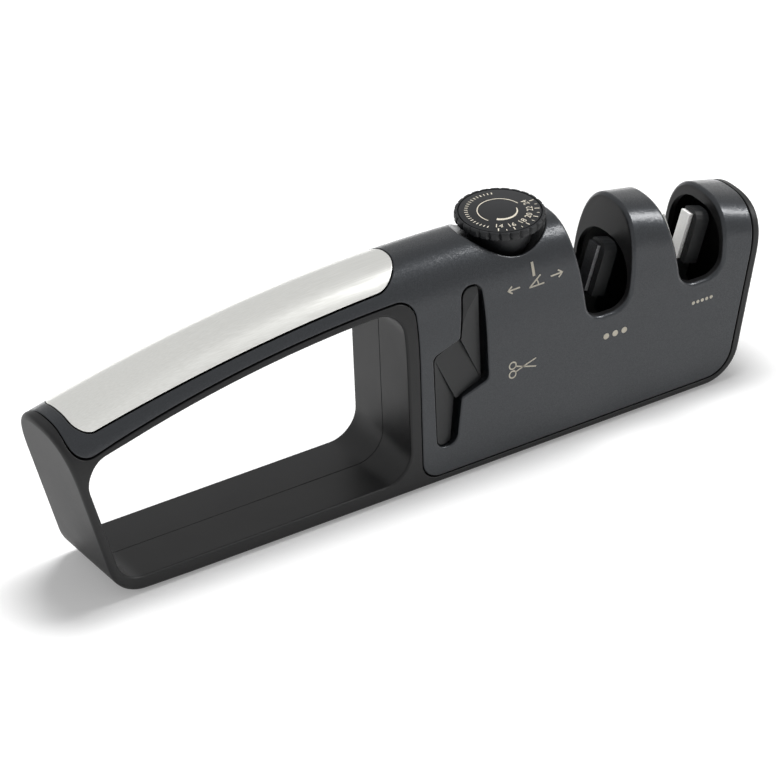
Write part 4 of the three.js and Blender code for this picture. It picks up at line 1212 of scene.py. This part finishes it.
# %% Front marks
MARK_WIDTH = 0.45
POINTER_X, POINTER_SPAN, POINTER_WIDTH = 38.7, (58.6, 62.7), 0.9
ANGLE_SIGN = (38.9, 55.6)
ANGLE_LEGS = ((3.0, 0.0), (-2.2, 0.0), (2.0, 2.8))
ANGLE_ARC = (3.2, 0, 33)  # radius and degrees, round the middle corner of the legs
ARROW_SHAFT = ((5.4, 1.2), (9.6, 1.2))
ARROW_HEAD = ((8.1, 2.3), (9.6, 1.2), (8.1, 0.1))
SCISSORS_SIGN = (34.0, 30.4)
SCISSORS_BLADE = ((-2.6, 1.0), (0.0, 0.0), (4.6, -1.4))
SCISSORS_LOOP, LOOP_RADIUS = (-3.6, 1.5), 1.15
GRIT_SIGNS = ((66.7, 30.5, 3, 1.0, 3.2), (98.0, 31.2, 5, 0.55, 1.6))  # x, z, dots, radius, pitch


def on_front(spot):
    point = on_body(spot.x, front_round(spot.x, spot.y))
    return point + INK * normal_at(point)


def sign_line(sign, places, flip=(1, 1)):
    """A line of a sign, drawn round the sign's middle, mirrored where flip is -1."""
    return even_stroke([(sign[0] + flip[0] * x, sign[1] + flip[1] * z) for x, z in places], MARK_WIDTH)


front_marks = [even_stroke([(POINTER_X, z) for z in POINTER_SPAN], POINTER_WIDTH)]
angle_arc = arc_places(ANGLE_LEGS[1], *ANGLE_ARC)
front_marks += [sign_line(ANGLE_SIGN, places) for places in (ANGLE_LEGS, angle_arc)]
for way in (-1, 1):
    front_marks += [sign_line(ANGLE_SIGN, places, (way, 1)) for places in (ARROW_SHAFT, ARROW_HEAD)]
loop = arc_places(SCISSORS_LOOP, LOOP_RADIUS, 0, 360)
for way in (-1, 1):
    front_marks += [sign_line(SCISSORS_SIGN, places, (1, way)) for places in (loop, SCISSORS_BLADE)]
for middle_x, dots_z, count, radius, pitch in GRIT_SIGNS:
    for k in range(count):
        front_marks.append(dot(middle_x + (k - (count - 1) / 2) * pitch, dots_z, radius))
print_marks("front_marks", front_marks, on_front, "frame")

# %% [markdown]
# ## Inner pieces
# The holders, bars, shaft, slider, pins and pads keep the shape that the frame gives them. Each gets its
# finish, and a small bevel on the pieces that show, because an edge without one reflects no light.
# The grit on a coarse bar covers its face; its two sides are bare ground steel, whose light grey also
# paints in the highlight that they catch.

# %% Pieces carried over from the frame
FINISHES = (  # and how the names of their nodes start
    (nylon, ("coarse_arm", "fine_arm", "scissors_guide")),
    (diamond, ("coarse_bar",)),
    (ceramic, ("fine_bar", "scissors_rod")),
    (acetal, ("dial_shaft", "shaft_bush", "angle_slider")),
    (rubber, ("base_pad",)),
    (zinc, ("knob_screw", "dial_spring", "coarse_pivot_pin", "fine_pivot_pin", "frame_screw")),
)
BEVELS_MM = {"arm": 0.35, "bar": 0.25, "guide": 0.3, "pad": 0.4}
BEVEL_SEGMENTS = 2
SIDEWAYS = 0.9  # how far across the body a bar's side faces, at least

carried = []
for finish, starts in FINISHES:
    for node_name in [name for name in nodes if name.startswith(starts)]:
        node = nodes[node_name]
        for material_slot in node.material_slots:
            material_slot.material = finish
        for kind, width in BEVELS_MM.items():
            if kind in node_name.split("_"):
                bevel = node.modifiers.new("edge", "BEVEL")
                bevel.width = width * MM
                bevel.segments = BEVEL_SEGMENTS
                bevel.limit_method = "ANGLE"
                bevel.harden_normals = True
        carried.append(node_name)
# The sides of the coarse bars get the light grey steel, which partly paints in their highlight.
for side in ("left", "right"):
    bar = nodes[f"coarse_bar_{side}"]
    bar.data.materials.append(ground_steel_painted_highlight)
    for polygon in bar.data.polygons:
        if abs((bar.matrix_world.to_3x3() @ polygon.normal).y) > SIDEWAYS:
            polygon.material_index = SECOND_FINISH
print("carried over:", len(carried))
